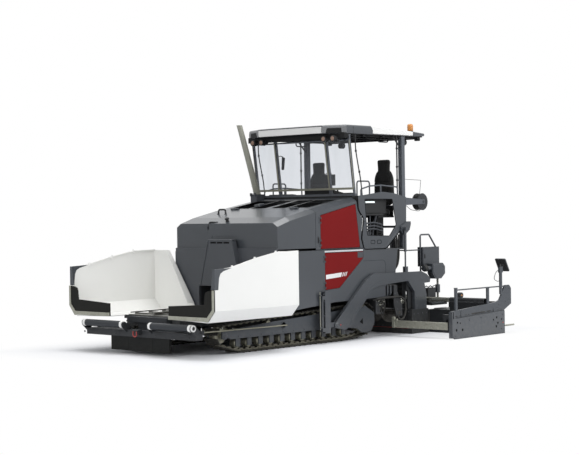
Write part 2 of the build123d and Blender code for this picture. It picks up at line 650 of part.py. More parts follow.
# ---------------------------------------------------------------- canopy
canopy_side = [(260, 3585), (450, canopy_low_z), (2713, canopy_low_z), (2713, 3645), (2367, 3671),
               (1140, canopy_top_z), (260, 3730)]
beacon_xy = (1000, 2486)
beacon_z = (3672, 3820)
with BuildPart() as canopy:
    plate(side_plane(-canopy_half), canopy_side, 2 * canopy_half)
    for side in (-1, 1):
        plate(Plane.XY.offset(3500), [(side * 750, 250), (side * 1200, 250), (side * 1200, 475)], 300,
              mode=Mode.SUBTRACT)
    with Locations((*beacon_xy, (3640 + beacon_z[0]) / 2)):
        Cylinder(62, beacon_z[0] - 3640)
canopy.part.label = "canopy"
export_step(canopy.part, "parts/canopy.step")

lean = 0.134            # forward lean of the windscreen and its posts


def screen_y(z):
    """Front face of the leaning windscreen posts at a height."""
    return 672 - lean * (z - dash_top_z)


def leaning(x, z, y_low, y_high, mode=Mode.ADD):
    """Bar or pane between two heights that follows the windscreen's lean."""
    outline = [(screen_y(z[0]) + y_low, z[0]), (screen_y(z[0]) + y_high, z[0]),
               (screen_y(z[1]) + y_high, z[1]), (screen_y(z[1]) + y_low, z[1])]
    plate(side_plane(x[0]), outline, x[1] - x[0], mode=mode)


with BuildPart() as canopy_posts:
    block((-1150, 1150), (672, 745), (dash_top_z, dash_top_z + 40))
    leaning((575, 625), (dash_top_z, canopy_low_z), 0, 50)
    leaning((1120, 1150), (dash_top_z, canopy_low_z), 0, 40)
    block((1120, 1150), (540, 580), (canopy_low_z - 20, canopy_low_z))
    for z in (screen_z[0] - 25, screen_z[1]):
        leaning((0, 1150), (z, z + 25), 0, 40)
    # rear posts, which are the platform's rear corners too
    block((1090, platform_side_x), (1995, platform_rear_y), (floor_z + floor_t, canopy_low_z))
    mirror(about=Plane.YZ)
canopy_posts.part.label = "canopy_posts"
export_step(canopy_posts.part, "parts/canopy_posts.step")

with BuildPart() as windscreen:
    leaning((-1150, 1150), (screen_z[0] - 20, screen_z[1] + 20), -8, -seat_gap)
windscreen.part.label = "windscreen"
export_step(windscreen.part, "parts/windscreen.step")

with BuildPart() as beacon:
    with Locations((*beacon_xy, (beacon_z[0] + beacon_z[1]) / 2)):
        Cylinder(55, beacon_z[1] - beacon_z[0])
    fillet(beacon.edges().group_by(Axis.Z)[-1], radius=20)
beacon.part.label = "beacon"
export_step(beacon.part, "parts/beacon.step")

lamp_r = 55
with BuildPart() as work_lights:
    for x in (740, 950):
        rod((x, 330, 3495), (x, 420, 3495), lamp_r)
        block((x - 20, x + 20), (455, 500), (3480, canopy_low_z))
        block((x - 20, x + 20), (415, 460), (3480, 3510))
    rod((740, 2560, 3495), (740, 2650, 3495), lamp_r)
    block((720, 760), (2640, 2680), (3480, canopy_low_z))
    mirror(about=Plane.YZ)
work_lights.part.label = "work_lights"
export_step(work_lights.part, "parts/work_lights.step")

# exhaust: a fixed elbow on the hood and the folding stack above it
exhaust_x = -1000
stack_foot = (490, 2575)       # y, z
stack_top = (45, 3810)
fold_y = 370                   # hinge at the front of the stack's foot
with BuildPart() as exhaust_base:
    plate(side_plane(exhaust_x - 75), [(390, hood_height(390) + bevel_h), (590, hood_height(590) + bevel_h),
                                       (590, stack_foot[1] - 10), (390, stack_foot[1] - 10)], 150)
    for x in (exhaust_x - 60, exhaust_x + 44):
        block((x, x + 16), (fold_y - 14, 396), (2530, stack_foot[1] + 14))
    rod((exhaust_x - 70, fold_y, stack_foot[1]), (exhaust_x + 70, fold_y, stack_foot[1]), 7)
exhaust_base.part.label = "exhaust_base"
export_step(exhaust_base.part, "parts/exhaust_base.step")

with BuildPart() as exhaust_stack:
    with BuildSketch(Plane.XY.offset(stack_foot[1])):
        with Locations((exhaust_x, stack_foot[0])):
            RectangleRounded(140, 180, 60)
    with BuildSketch(Plane.XY.offset(stack_top[1])):
        with Locations((exhaust_x, stack_top[0])):
            RectangleRounded(140, 130, 60)
    loft()
    block((exhaust_x - 40, exhaust_x + 40), (fold_y, 420), (stack_foot[1] - 4, stack_foot[1] + 14))
    rod((exhaust_x - 40, fold_y, stack_foot[1]), (exhaust_x + 40, fold_y, stack_foot[1]), 14)
    rod((exhaust_x - 41, fold_y, stack_foot[1]), (exhaust_x + 41, fold_y, stack_foot[1]), 7 + running,
        mode=Mode.SUBTRACT)
exhaust_stack.part.label = "exhaust_stack"
export_step(exhaust_stack.part, "parts/exhaust_stack.step")


# ---------------------------------------------------------------- levelling gear and towing arms
slot_x = (arm_in_x + 10, arm_out_x - 15)     # slot between the arm's cheeks at its front end
with BuildPart() as levelling_guides:
    block((body_half + 8, arm_out_x - 3), guide_y, (180, 885))
    block((slot_x[0], slot_x[1]), (guide_y[0] + 25, guide_y[1] + 1), (179, 830), mode=Mode.SUBTRACT)
    block((body_half, body_half + 8), guide_y, (700, 885))
    rod((1235, guide_y[0] - 42, 240), (1235, guide_y[0] - 42, 780), 22)
    for z in (240, 780):
        block((1205, 1265), (guide_y[0] - 70, guide_y[0]), (z - 30, z + 30))
    mirror(about=Plane.YZ)
levelling_guides.part.label = "levelling_guides"
export_step(levelling_guides.part, "parts/levelling_guides.step")

slider_x = (slot_x[0] + 0.5, slot_x[1] - 0.5)
lug_x = (slot_x[0] + 5, slot_x[1] - 5)
with BuildPart() as tow_sliders:
    block(slider_x, (guide_y[0] + 26, guide_y[1]), (220, 430))
    with BuildSketch(side_plane(lug_x[0])):
        with Locations((tow_y, tow_z)):
            Circle(48)
        with Locations(((guide_y[1] + tow_y) / 2 - 5, tow_z)):
            Rectangle(tow_y - guide_y[1] + 10, 80)
        with Locations((tow_y, tow_z)):
            Circle(tow_r + running, mode=Mode.SUBTRACT)
    extrude(amount=lug_x[1] - lug_x[0])
    mirror(about=Plane.YZ)
tow_sliders.part.label = "tow_sliders"
export_step(tow_sliders.part, "parts/tow_sliders.step")

arm_outline = [(-40, 262), (240, 205), (340, 252), (1000, 877), (1232, 921), (2010, 965), (2200, 760),
               (2200, screed_top_z), (2560, screed_top_z), (2560, 700), (2500, 905), (2665, 912),
               (2686, 982), (2570, 1069), (2416, 1121), (1022, 1132), (809, 1032), (-40, 330)]
with BuildPart() as tow_arms:
    plate(side_plane(arm_in_x), arm_outline, arm_out_x - arm_in_x)
    block((slot_x[0], slot_x[1]), (-60, 130), (150, 600), mode=Mode.SUBTRACT)
    rod((arm_in_x, tow_y, tow_z), (arm_out_x, tow_y, tow_z), tow_r)
    # lugs of the lift cylinder's rod eye, each with its half of the pin
    for x in ((lift_x - 29, lift_x - 16), (lift_x + 16, lift_x + 29)):
        block(x, (lift_eye[0] - 40, lift_eye[0] + 40), (1120, lift_eye[1] + 34))
    mirror(about=Plane.YZ)
tow_arms.part.label = "tow_arms"
export_step(tow_arms.part, "parts/tow_arms.step")

# lift cylinders between the platform brackets and the arms
cylinder_run = Vector(0, lift_eye[0] - lift_top[0], lift_eye[1] - lift_top[1])
cylinder_dir = cylinder_run.normalized()
cylinder_length = 410
lift_rod_r = 15


def along_lift(distance):
    """Point on the left lift cylinder's axis, measured from its upper pin."""
    return (lift_x, lift_top[0] + cylinder_dir.Y * distance, lift_top[1] + cylinder_dir.Z * distance)


with BuildPart() as lift_cylinder_left:
    rod(along_lift(20), along_lift(cylinder_length), 24)
    rod(along_lift(36), along_lift(cylinder_length - 2), 25)
    rod((lift_x - 24, *lift_top), (lift_x + 25.5, *lift_top), 34)
    rod((lift_x - 25, *lift_top), (lift_x + 26.5, *lift_top), lift_pin_r + running, mode=Mode.SUBTRACT)
    rod(along_lift(60), along_lift(cylinder_length + 1), lift_rod_r + running, mode=Mode.SUBTRACT)
write_pair("lift_cylinder", lift_cylinder_left.part)

with BuildPart() as lift_rod_left:
    rod(along_lift(cylinder_length - 60), along_lift(cylinder_run.length - 20), lift_rod_r)
    rod((lift_x - 15.2, *lift_eye), (lift_x + 15.2, *lift_eye), 30)
    rod((lift_x - 16, *lift_eye), (lift_x + 16, *lift_eye), lift_pin_r, mode=Mode.SUBTRACT)
write_pair("lift_rod", lift_rod_left.part)

# ---------------------------------------------------------------- augers
gearbox_half = 45
with BuildPart() as auger_beam:
    block((-1180, 1180), (1700, 1800), (780, 900))
    for x in (-740, 660):
        block((x, x + 80), (chassis_rear_y, 1700), (820, 900))
    block((-gearbox_half, gearbox_half), (1740, 1940), (330, 780))
    for side in (-1, 1):
        plate(side_plane(side * 1170 - 10),
              [(1700, 780), (1800, 780), (1940, 560), (1940, 340), (1780, 340), (1700, 560)], 20)
        with Locations(Plane.YZ.offset(side * 1170)):
            with Locations((auger_y, auger_z)):
                Cylinder(30 + running, 40, mode=Mode.SUBTRACT)
    rod((-auger_in_x - 40, auger_y, auger_z), (auger_in_x + 40, auger_y, auger_z), 30)
auger_beam.part.label = "auger_beam"
export_step(auger_beam.part, "parts/auger_beam.step")

flight_pitch = 320
with BuildPart() as auger_left:
    rod((auger_in_x, auger_y, auger_z), (auger_out_x, auger_y, auger_z), auger_shaft_r)
    rod((auger_out_x, auger_y, auger_z), (auger_out_x + 40, auger_y, auger_z), 30)
    rod((auger_in_x - 1, auger_y, auger_z), (auger_in_x + 41, auger_y, auger_z), 30 + running,
        mode=Mode.SUBTRACT)
    blade = Plane(origin=(auger_in_x + 10, auger_y, auger_z), x_dir=(0, 1, 0), z_dir=(1, 0, 0))
    with BuildSketch(mode=Mode.PRIVATE) as sector:
        with BuildLine():
            near = PolarLine((0, 0), auger_r, 0)
            far = PolarLine((0, 0), auger_r, 16)
            RadiusArc(near @ 1, far @ 1, -auger_r)
        make_face()
        Circle(auger_shaft_r - 5, mode=Mode.SUBTRACT)
    flight_length = auger_out_x - auger_in_x - 20
    flight = Solid.extrude_linear_with_rotation(sector.sketch.faces()[0], (0, 0, 0), (0, 0, flight_length),
                                                360 * flight_length / flight_pitch)
    add(blade * flight)
write_pair("auger", auger_left.part)


# ---------------------------------------------------------------- screed
with BuildPart() as screed_main:
    block((-transport_half, transport_half), screed_y, (0, screed_top_z))
    block((-1265, 1265), walkway_y, walkway_z)
    for x in (-420, 360):
        block((x, x + 60), (2450, walkway_y[1]), (screed_top_z, walkway_z[0]))
    for side in (-1, 1):
        low, high = sorted((side * sleeve_x[0], side * sleeve_x[1]))
        rod((low, tube_y, tube_z[side]), (high, tube_y, tube_z[side]), sleeve_r)
        plate(side_plane(low),
              [(2500, screed_top_z), (2600, screed_top_z), (2640, 500), (2700, 500), (2700, tube_z[side]),
               (2630, tube_z[side]), (2500, tube_z[side] - 60)], high - low)
        rod((low - 1, tube_y, tube_z[side]), (high + 1, tube_y, tube_z[side]), tube_r + running,
            mode=Mode.SUBTRACT)
screed_main.part.label = "screed_main"
export_step(screed_main.part, "parts/screed_main.step")

with BuildPart() as screed_cabinets:
    block((940, 1060), (2740, 3250), (1190, 1550))
    bent_tube([(1000, 2745, walkway_z[1]), (1000, 2745, 1780), (1000, 3014, 1780), (1000, 3256, 1505),
               (1000, 3256, 1215)], 40, 16)
    mirror(about=Plane.YZ)
screed_cabinets.part.label = "screed_cabinets"
export_step(screed_cabinets.part, "parts/screed_cabinets.step")

# depth screws: gear case, crank and spindle at each outer rear corner
with BuildPart() as depth_screws:
    plate(side_plane(1080),
          [(2850, 1060), (2930, 960), (3120, 960), (3240, 1050), (3240, 1180), (3170, 1250), (2850, 1250)],
          120, corner=25)
    rod((1140, 2640, 1160), (1140, 2850, 1160), 40)
    rod((1140, 3080, walkway_z[1]), (1140, 3080, 980), 20)
    rod((1140, 3080, 700), (1140, 3080, 850), 45)
    block((1080, 1200), (3020, 3140), (walkway_z[1], 600))
    mirror(about=Plane.YZ)
depth_screws.part.label = "depth_screws"
export_step(depth_screws.part, "parts/depth_screws.step")

extension_in_x = transport_half + 10
upper_plate_x = (extension_out_x, extension_out_x + 30)
gate_in_x = upper_plate_x[1] + panel_gap
deflector_in_x = 1350
head_x = (extension_out_x - 5, extension_out_x + 35)       # head of the console post
head_top_z = 1195
for side, name in ((1, "left"), (-1, "right")):
    z = tube_z[side]
    with BuildPart() as extension:
        block(sorted((side * extension_in_x, side * extension_out_x)), extension_y, (0, extension_top_z))
        block(sorted((side * extension_in_x, side * extension_out_x)), (2760, extension_y[1]),
              (extension_top_z, 432))
        low, high = sorted((side * housing_x[0], side * housing_x[1]))
        rod((low, tube_y, z), (high, tube_y, z), sleeve_r)
        block((low, high), (tube_y - 30, tube_y + 30), (extension_top_z, z))
        rod((low - 1, tube_y, z), (high + 1, tube_y, z), tube_r + running, mode=Mode.SUBTRACT)
        # end frame: upper plate, riser and the bracket of the front deflector
        low, high = sorted((side * upper_plate_x[0], side * upper_plate_x[1]))
        plate(side_plane(low),
              [(1560, 330), (3100, 330), (3200, 420), (3420, 520), (3420, 800), (3360, 860), (3230, 860),
               (3040, 600), (2920, 569), (1560, 478)], high - low)
        for y, z_low, z_high in ((1720, 480, 870), (2690, 550, 830)):
            block((low, high), (y - 30, y + 30), (z_low, z_high))
        rod((side * (upper_plate_x[0] + 15), 1720, 842), (side * (upper_plate_x[0] + 15), 3260, 842), 12)
        block(sorted((side * (extension_out_x - 170), side * extension_out_x)), (1585, 1655), (340, 420))
        block(sorted((side * (extension_out_x - 160), side * (extension_out_x - 100))), (1590, 1650),
              (200, 400))
        block(sorted((side * deflector_in_x, side * (extension_out_x - 120))), (1580, 1660), (160, 280))
        # pads that guide the end gate
        low, high = sorted((side * upper_plate_x[1], side * (gate_in_x - seat_gap)))
        for y in (1900, 2900):
            block((low, high), (y - 60, y + 60), (340, 470))
        # console on the riser
        block(sorted((side * upper_plate_x[0], side * upper_plate_x[1])), (3080, 3140), (700, 1110))
        block(sorted((side * head_x[0], side * head_x[1])), (3060, 3160), (1090, head_top_z))
    extension.part.label = f"screed_extension_{name}"
    export_step(extension.part, f"parts/screed_extension_{name}.step")

    with BuildPart() as guide_tube:
        rod((side * tube_x[0], tube_y, z), (side * tube_x[1], tube_y, z), tube_r)
    guide_tube.part.label = f"guide_tube_{name}"
    export_step(guide_tube.part, f"parts/guide_tube_{name}.step")

gate_x = (gate_in_x, gate_in_x + gate_t)
with BuildPart() as end_gate_left:
    plate(side_plane(gate_x[0]),
          [(gate_y[0], 40), (gate_y[0] + 60, 0), (gate_y[1], 0), (gate_y[1], 410), (gate_y[0], 350)],
          gate_t)
    block((gate_x[0] - 40, gate_x[1]), (gate_y[0] - 30, gate_y[0] - 5), (20, 470))
    block((gate_x[0], gate_x[1]), (gate_y[0] - 10, gate_y[0] + 2), (60, 340))
    rod((gate_x[0] + 17, gate_y[1], 135), (gate_x[0] + 17, 3460, 135), 12)
    block((gate_x[0], gate_x[1]), (gate_y[0] + 20, gate_y[0] + 60), (340, 470))
write_pair("end_gate", end_gate_left.part)

with BuildPart() as gate_screen_left:
    plate(side_plane(extension_out_x - 60), [(2870, 1330), (2895, 1360), (3430, 1135), (3405, 1105)], 150)
    block(upper_plate_x, (3090, 3130), (head_top_z, 1240))
write_pair("gate_screen", gate_screen_left.part)
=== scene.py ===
"""Tracked asphalt paver: looks of the machine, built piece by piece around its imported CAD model.

Metres.  +X is the machine's left side, -Y its front, +Z up.  Each section makes one piece, or a
group of like pieces, with its own sizes, colours, surfaces and materials.
"""
import math
from functools import partial
import bpy
import numpy as np
from mathutils import Matrix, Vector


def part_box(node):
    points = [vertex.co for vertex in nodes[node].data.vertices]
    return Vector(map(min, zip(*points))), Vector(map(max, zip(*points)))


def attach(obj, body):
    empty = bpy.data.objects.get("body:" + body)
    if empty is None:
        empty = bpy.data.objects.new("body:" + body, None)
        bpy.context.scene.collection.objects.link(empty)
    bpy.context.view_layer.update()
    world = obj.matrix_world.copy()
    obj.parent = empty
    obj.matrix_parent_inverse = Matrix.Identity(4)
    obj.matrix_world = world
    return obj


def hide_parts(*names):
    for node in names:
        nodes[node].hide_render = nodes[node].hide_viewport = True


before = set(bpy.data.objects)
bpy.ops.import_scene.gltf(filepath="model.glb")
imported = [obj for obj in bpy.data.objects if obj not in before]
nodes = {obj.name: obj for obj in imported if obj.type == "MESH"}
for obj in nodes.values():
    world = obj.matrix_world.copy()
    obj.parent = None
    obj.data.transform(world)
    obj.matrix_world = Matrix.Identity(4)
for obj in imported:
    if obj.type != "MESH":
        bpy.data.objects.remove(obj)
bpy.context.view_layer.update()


# ---------------------------------------------------------------- floor, light and camera
# A pale floor that shows its shadow only near the machine, a white surround and three soft lamps:
# a large one to the machine's left, one overhead and a weak one ahead.  The camera stands low, off
# the machine's front left corner.
def view_frame(azimuth, pitch, roll):
    """Rotation of a camera that looks along an azimuth and a pitch, then rolls about its line of sight."""
    forward = np.array([-math.sin(azimuth) * math.cos(pitch), math.cos(azimuth) * math.cos(pitch),
        math.sin(pitch)])
    right = np.cross(forward, (0.0, 0.0, 1.0))
    right /= np.linalg.norm(right)
    up = np.cross(right, forward)
    turned_right = right * math.cos(roll) + up * math.sin(roll)
    turned_up = up * math.cos(roll) - right * math.sin(roll)
    return np.column_stack([turned_right, turned_up, -forward])


def stand(obj, position, rotation):
    """Stands a lamp or the camera at a position, turned by a rotation."""
    matrix = np.eye(4)
    matrix[:3, :3] = rotation
    matrix[:3, 3] = position
    obj.matrix_world = Matrix(matrix.tolist())
    bpy.context.scene.collection.objects.link(obj)


def fill(tree, node, values):
    """Gives a shader node its inputs, by name or number: a socket is linked, anything else is set."""
    for key, value in dict(values).items():
        if isinstance(value, bpy.types.NodeSocket):
            tree.links.new(value, node.inputs[key])
        else:
            node.inputs[key].default_value = value


def add_node(tree, kind, values=(), **settings):
    """Outputs of a new shader node, given its settings and its inputs by name or in order."""
    node = tree.nodes.new("ShaderNode" + kind)
    for name, value in settings.items():
        setattr(node, name, value)
    fill(tree, node, values if isinstance(values, dict) else enumerate(values))
    return node.outputs


def sums(tree, operation, *values, clamp=False):
    """Math node over sockets or numbers."""
    return add_node(tree, "Math", values, operation=operation, use_clamp=clamp)[0]


def spread(tree, value, low, high):
    """The value's span from low to high stretched over 0 to 1, clamped."""
    return add_node(tree, "MapRange", {"Value": value, "From Min": low, "From Max": high})[0]


def object_place(tree):
    """Object coordinates, as a socket."""
    return add_node(tree, "TexCoord")["Object"]


def emptied(owner):
    """The shader graph of a material or the world, without its nodes."""
    owner.use_nodes = True
    owner.node_tree.nodes.clear()
    return owner.node_tree


def rect(x0, y0, x1, y1):
    """Outline of a rectangle between two corners, from the first one round by (x1, y0)."""
    return [(x0, y0), (x1, y0), (x1, y1), (x0, y1)]


def soft_lamp(name, position, size, watts):
    """Square lamp at a position, facing the middle of the machine."""
    data = bpy.data.lights.new(name, "AREA")
    data.size = size
    data.energy = watts
    aim = np.array([0.0, 0.0, 1.5]) - position
    azimuth = math.atan2(-aim[0], aim[1])
    pitch = math.atan2(aim[2], math.hypot(aim[0], aim[1]))
    stand(bpy.data.objects.new(name, data), position, view_frame(azimuth, pitch, 0.0))


lens_data = bpy.data.cameras.new("camera")
lens_data.sensor_width, lens_data.lens, lens_data.clip_end = 36.0, 88.62, 500.0
camera = bpy.data.objects.new("camera", lens_data)
azimuth, pitch, roll = np.radians([42.0, -0.566, -0.838])
stand(camera, (16.863, -18.483, 2.2095), view_frame(azimuth, pitch, roll))
scene = bpy.context.scene
scene.camera = camera
scene.view_settings.view_transform = "Standard"
soft_lamp("lamp_left", (13.0, 2.0, 7.0), 8.0, 1040.0)
soft_lamp("lamp_front", (2.0, -15.0, 5.0), 7.0, 600.0)
soft_lamp("lamp_top", (0.5, 1.0, 22.0), 15.0, 3900.0)

white = (1.0, 1.0, 1.0, 1.0)
scene.world = bpy.data.worlds.new("surround")
tree = emptied(scene.world)
rays = add_node(tree, "LightPath")
shown, lighting = [add_node(tree, "Background", {"Color": colour, "Strength": strength})[0]
    for colour, strength in ((white, 1.0), ((0.97, 0.985, 1.0, 1.0), 0.28))]
seen_or_mirrored = sums(tree, "MAXIMUM", rays["Is Camera Ray"], rays["Is Glossy Ray"])
sharp_rays = sums(tree, "MAXIMUM", seen_or_mirrored, rays["Is Transmission Ray"])
mix = add_node(tree, "MixShader", (sharp_rays, lighting, shown))[0]
add_node(tree, "OutputWorld", {"Surface": mix})

floor_half = 150.0
shadow_half_x, shadow_half_y, fade_start, fade_end = 1.3, 3.2, -0.1, 1.6
floor_mesh = bpy.data.meshes.new("floor")
floor_corners = rect(-floor_half, -floor_half, floor_half, floor_half)
floor_mesh.from_pydata([(x, y, 0.0) for x, y in floor_corners], [], [(0, 1, 2, 3)])
floor = bpy.data.objects.new("floor", floor_mesh)
scene.collection.objects.link(floor)
floor_paint = bpy.data.materials.new("floor_paint")
tree = emptied(floor_paint)
place = add_node(tree, "SeparateXYZ", (object_place(tree),))
past = [sums(tree, "SUBTRACT", sums(tree, "ABSOLUTE", place[axis]), half)
    for axis, half in (("X", shadow_half_x), ("Y", shadow_half_y))]
fading = spread(tree, sums(tree, "MAXIMUM", *past), fade_start, fade_end)
share = sums(tree, "MULTIPLY", add_node(tree, "LightPath")["Is Camera Ray"], fading)
diffuse = add_node(tree, "BsdfDiffuse", {"Color": (0.76, 0.77, 0.8, 1.0)})[0]
glow = add_node(tree, "Emission", {"Color": white, "Strength": 1.0})[0]
mix = add_node(tree, "MixShader", (share, diffuse, glow))[0]
add_node(tree, "OutputMaterial", {"Surface": mix})
floor_mesh.materials.append(floor_paint)


# ---------------------------------------------------------------- chassis and engine
# Welded steel box frame with the material tunnel through it, sprayed in dark enamel.  The coat has
# a faint orange peel, its edges are paler from rubbing and from a painted highlight, and road dust
# lies on what is near the ground.
def new_group(name, inputs, outputs):
    """Shader group with (label, value) inputs and (label, kind) outputs, and inside it the sockets it is
    given and the node to put its results in."""
    group = bpy.data.node_groups.new(name, "ShaderNodeTree")
    for label, value in inputs:
        group.interface.new_socket(label, in_out="INPUT", socket_type="NodeSocketFloat").default_value = value
    for label, kind in outputs:
        group.interface.new_socket(label, in_out="OUTPUT", socket_type="NodeSocket" + kind)
    return group, group.nodes.new("NodeGroupInput").outputs, group.nodes.new("NodeGroupOutput")


def stretched(tree, scale):
    """Object coordinates stretched by a scale along each axis."""
    return add_node(tree, "Mapping", {"Vector": object_place(tree), "Scale": scale})[0]


def speckle(tree, coordinates, scale, detail=2.0, roughness=0.5):
    """Noise texture at a scale, between 0 and 1."""
    values = {"Vector": coordinates, "Scale": scale, "Detail": detail, "Roughness": roughness}
    return add_node(tree, "TexNoise", values)["Fac"]


def tinted(tree, amount, first, second):
    """Colour between two colours, by an amount."""
    return add_node(tree, "Mix", {"Factor": amount, 6: first, 7: second}, data_type="RGBA")[2]


def shading(material):
    """A material's shader graph and its main shader."""
    return material.node_tree, material.node_tree.nodes["Principled BSDF"]


def source(node, name):
    """The socket that feeds a node's input."""
    return node.inputs[name].links[0].from_socket


coat_group, given, put = new_group("sprayed_coat",
    [("Edge Radius", 0.004), ("Grain Scale", 220.0), ("Grain Depth", 0.0004), ("Dust Height", 0.9)],
    [("Normal", "Vector"), ("Edge", "Float"), ("Drift", "Float"), ("Grain", "Float"), ("Dust", "Float")])
calc = partial(sums, coat_group)
place = object_place(coat_group)
softened = add_node(coat_group, "Bevel", {"Radius": given["Edge Radius"]}, samples=4)[0]
true_face = add_node(coat_group, "NewGeometry")["Normal"]
agreement = add_node(coat_group, "VectorMath", (softened, true_face), operation="DOT_PRODUCT")["Value"]
edge_and_dust_patches = speckle(coat_group, place, 14.0, 5.0, 0.6)
# Edge mask: rubbed edges, and a painted highlight along every edge of the coat.
edge = calc("MULTIPLY", calc("MULTIPLY", calc("SUBTRACT", 1.0, agreement), 9.0), edge_and_dust_patches, clamp=True)
grain = speckle(coat_group, place, given["Grain Scale"])
drift = spread(coat_group, speckle(coat_group, place, 1.1, 3.0), 0.3, 0.7)
peel = add_node(coat_group, "Bump",
    {"Strength": 0.6, "Distance": given["Grain Depth"], "Height": grain, "Normal": softened})[0]
rise = calc("DIVIDE", add_node(coat_group, "SeparateXYZ", (place,))["Z"], given["Dust Height"])
nearness = calc("SUBTRACT", 1.0, rise, clamp=True)
dust = calc("MULTIPLY", nearness, spread(coat_group, edge_and_dust_patches, 0.35, 0.7), clamp=True)
fill(coat_group, put, {"Normal": peel, "Edge": edge, "Drift": drift, "Grain": grain, "Dust": dust})


def rgb(red, green, blue):
    """Linear colour from display values of 0 to 255."""
    shown = np.array([red, green, blue]) / 255.0
    linear = np.where(shown <= 0.04045, shown / 12.92, ((shown + 0.055) / 1.055) ** 2.4)
    return (*linear.tolist(), 1.0)


def toned(colour, factor):
    """A colour made lighter or darker by a factor."""
    return (*[min(c * factor, 1.0) for c in colour[:3]], 1.0)


road_dust = rgb(128, 124, 116)


def coated(name, colour, roughness=0.42, edge_tone=1.5, edge_radius=0.004, dust=0.3, dust_height=0.9,
        metallic=0.0, grain_scale=220.0, grain_depth=0.0004, drift=0.07, shine=0.4, gloss=0.0):
    """Metal or plastic of a display colour: slow drift of tone, edges paler from rubbing and from a
    painted highlight, fine grain and low dust.
    """
    colour = rgb(*colour)
    material = bpy.data.materials.new(name)
    material.use_nodes = True
    tree, shader = shading(material)
    coat = add_node(tree, "Group", {"Edge Radius": edge_radius, "Grain Scale": grain_scale,
        "Grain Depth": grain_depth, "Dust Height": dust_height}, node_tree=coat_group)
    tone = tinted(tree, coat["Drift"], toned(colour, 1.0 - drift), toned(colour, 1.0 + drift))
    tone = tinted(tree, coat["Edge"], tone, toned(colour, edge_tone))
    dusted = sums(tree, "MULTIPLY", coat["Dust"], dust)
    grained = sums(tree, "MULTIPLY_ADD", coat["Grain"], 0.16, roughness - 0.08)
    fill(tree, shader, {"Base Color": tinted(tree, dusted, tone, road_dust),
        "Roughness": sums(tree, "ADD", grained, dusted, clamp=True), "Normal": coat["Normal"],
        "Metallic": metallic, "Specular IOR Level": shine, "Coat Weight": gloss, "Coat Roughness": 0.26})
    return material


def repaint(material, *names):
    """Gives CAD nodes a material in all their slots."""
    for name in names:
        for slot in nodes[name].material_slots:
            slot.material = material


dark_coat = coated("dark_coat", (46, 48, 51), roughness=0.5)
engine_coat = coated("engine_coat", (58, 60, 62), roughness=0.55, grain_scale=60.0, grain_depth=0.001)
repaint(dark_coat, "chassis")
repaint(engine_coat, "engine_block")


# ---------------------------------------------------------------- conveyors
# Two lanes of pressed steel slats drawn along the tunnel floor by roller chains, worn bright where
# the mix slides.  The chain runs lie along both edges of each lane, over the slats' ends.
def corners(node):
    """Lowest and highest corner of a CAD node, as arrays."""
    low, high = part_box(node)
    return np.array(low), np.array(high)


def outward(shape):
    """Shape (points, face corners, corner counts) with its faces turned outwards, so that the signed volume
    of their fans is positive."""
    points, ring, counts = shape
    first = np.repeat(np.cumsum(counts) - counts, counts)
    face_ends = np.cumsum(counts)
    here = np.arange(len(ring))
    after = here + 1
    after[face_ends - 1] = face_ends - counts
    volume = np.einsum("ij,ij->i", points[ring[first]],
        np.cross(points[ring[here]], points[ring[after]])).sum()
    return (points, ring[::-1].copy(), counts[::-1].copy()) if volume < 0 else shape


def skin(rings, capped=True):
    """Skin over a stack of closed rings, an array (rings, points, 3): quads between rings and a face on
    each end."""
    rings = np.asarray(rings, float)
    levels, around = rings.shape[:2]
    level, step = np.meshgrid(np.arange(levels - 1) * around, np.arange(around), indexing="ij")
    after = (step + 1) % around
    ring = np.stack([level + step, level + after, level + around + after, level + around + step],
        axis=-1).ravel()
    counts = np.full((levels - 1) * around, 4)
    if capped:
        ring = np.concatenate([ring, np.arange(around)[::-1], (levels - 1) * around + np.arange(around)])
        counts = np.concatenate([counts, [around, around]])
    return outward((rings.reshape(-1, 3), ring, counts))


def shrunk(outline, edge):
    """Outline moved inwards by an edge width: corners move along the sum of their edges' inward normals."""
    outline = np.asarray(outline, float)
    ahead = np.roll(outline, -1, axis=0)
    turn = np.sign((outline[:, 0] * ahead[:, 1] - ahead[:, 0] * outline[:, 1]).sum())
    run = turn * (ahead - outline)
    run /= np.maximum(np.linalg.norm(run, axis=1, keepdims=True), 1e-9)
    inward = np.column_stack([-run[:, 1], run[:, 0]])
    before = np.roll(inward, 1, axis=0)
    share = 1.0 + (inward * before).sum(axis=1, keepdims=True)
    return outline + edge * (inward + before) / np.maximum(share, 0.3)


def stacked(outlines, axis, levels):
    """Skin over outlines of the same length, each in the plane across an axis at its own level along it."""
    rings = np.zeros((len(levels), len(outlines[0]), 3))
    rings[:, :, {"x": [1, 2], "y": [0, 2], "z": [0, 1]}[axis]] = np.stack(outlines)
    rings[:, :, "xyz".index(axis)] = np.array(levels)[:, None]
    return skin(rings)


def plate(outline, axis, low, high, edge=0.0015):
    """Plate: an outline in the plane across an axis, drawn from low to high along it, with a small chamfer
    round both faces."""
    outline = np.asarray(outline, float)
    face = shrunk(outline, edge)
    return stacked([face, outline, outline, face], axis, [low, low + edge, high - edge, high])


def block(low, high, edge=0.003):
    """Box between two corners with all its edges chamfered."""
    (x0, y0, z0), (x1, y1, z1) = low, high
    outline = [(x0 + edge, y0), (x1 - edge, y0), (x1, y0 + edge), (x1, y1 - edge), (x1 - edge, y1),
        (x0 + edge, y1), (x0, y1 - edge), (x0, y0 + edge)]
    return plate(outline, "z", z0, z1, edge)


def joined(*shapes):
    """Several shapes as one."""
    starts = np.cumsum([0] + [len(points) for points, _, _ in shapes[:-1]])
    return (np.concatenate([points for points, _, _ in shapes]), np.concatenate([ring + start
        for (_, ring, _), start in zip(shapes, starts)]), np.concatenate([counts for _, _, counts in shapes]))


def repeated(shape, placed):
    """A shape's faces over several sets of its points, an array (sets, points, 3)."""
    _, ring, counts = shape
    starts = placed.shape[1] * np.arange(len(placed))[:, None]
    return placed.reshape(-1, 3), (ring[None] + starts).ravel(), np.tile(counts, len(placed))


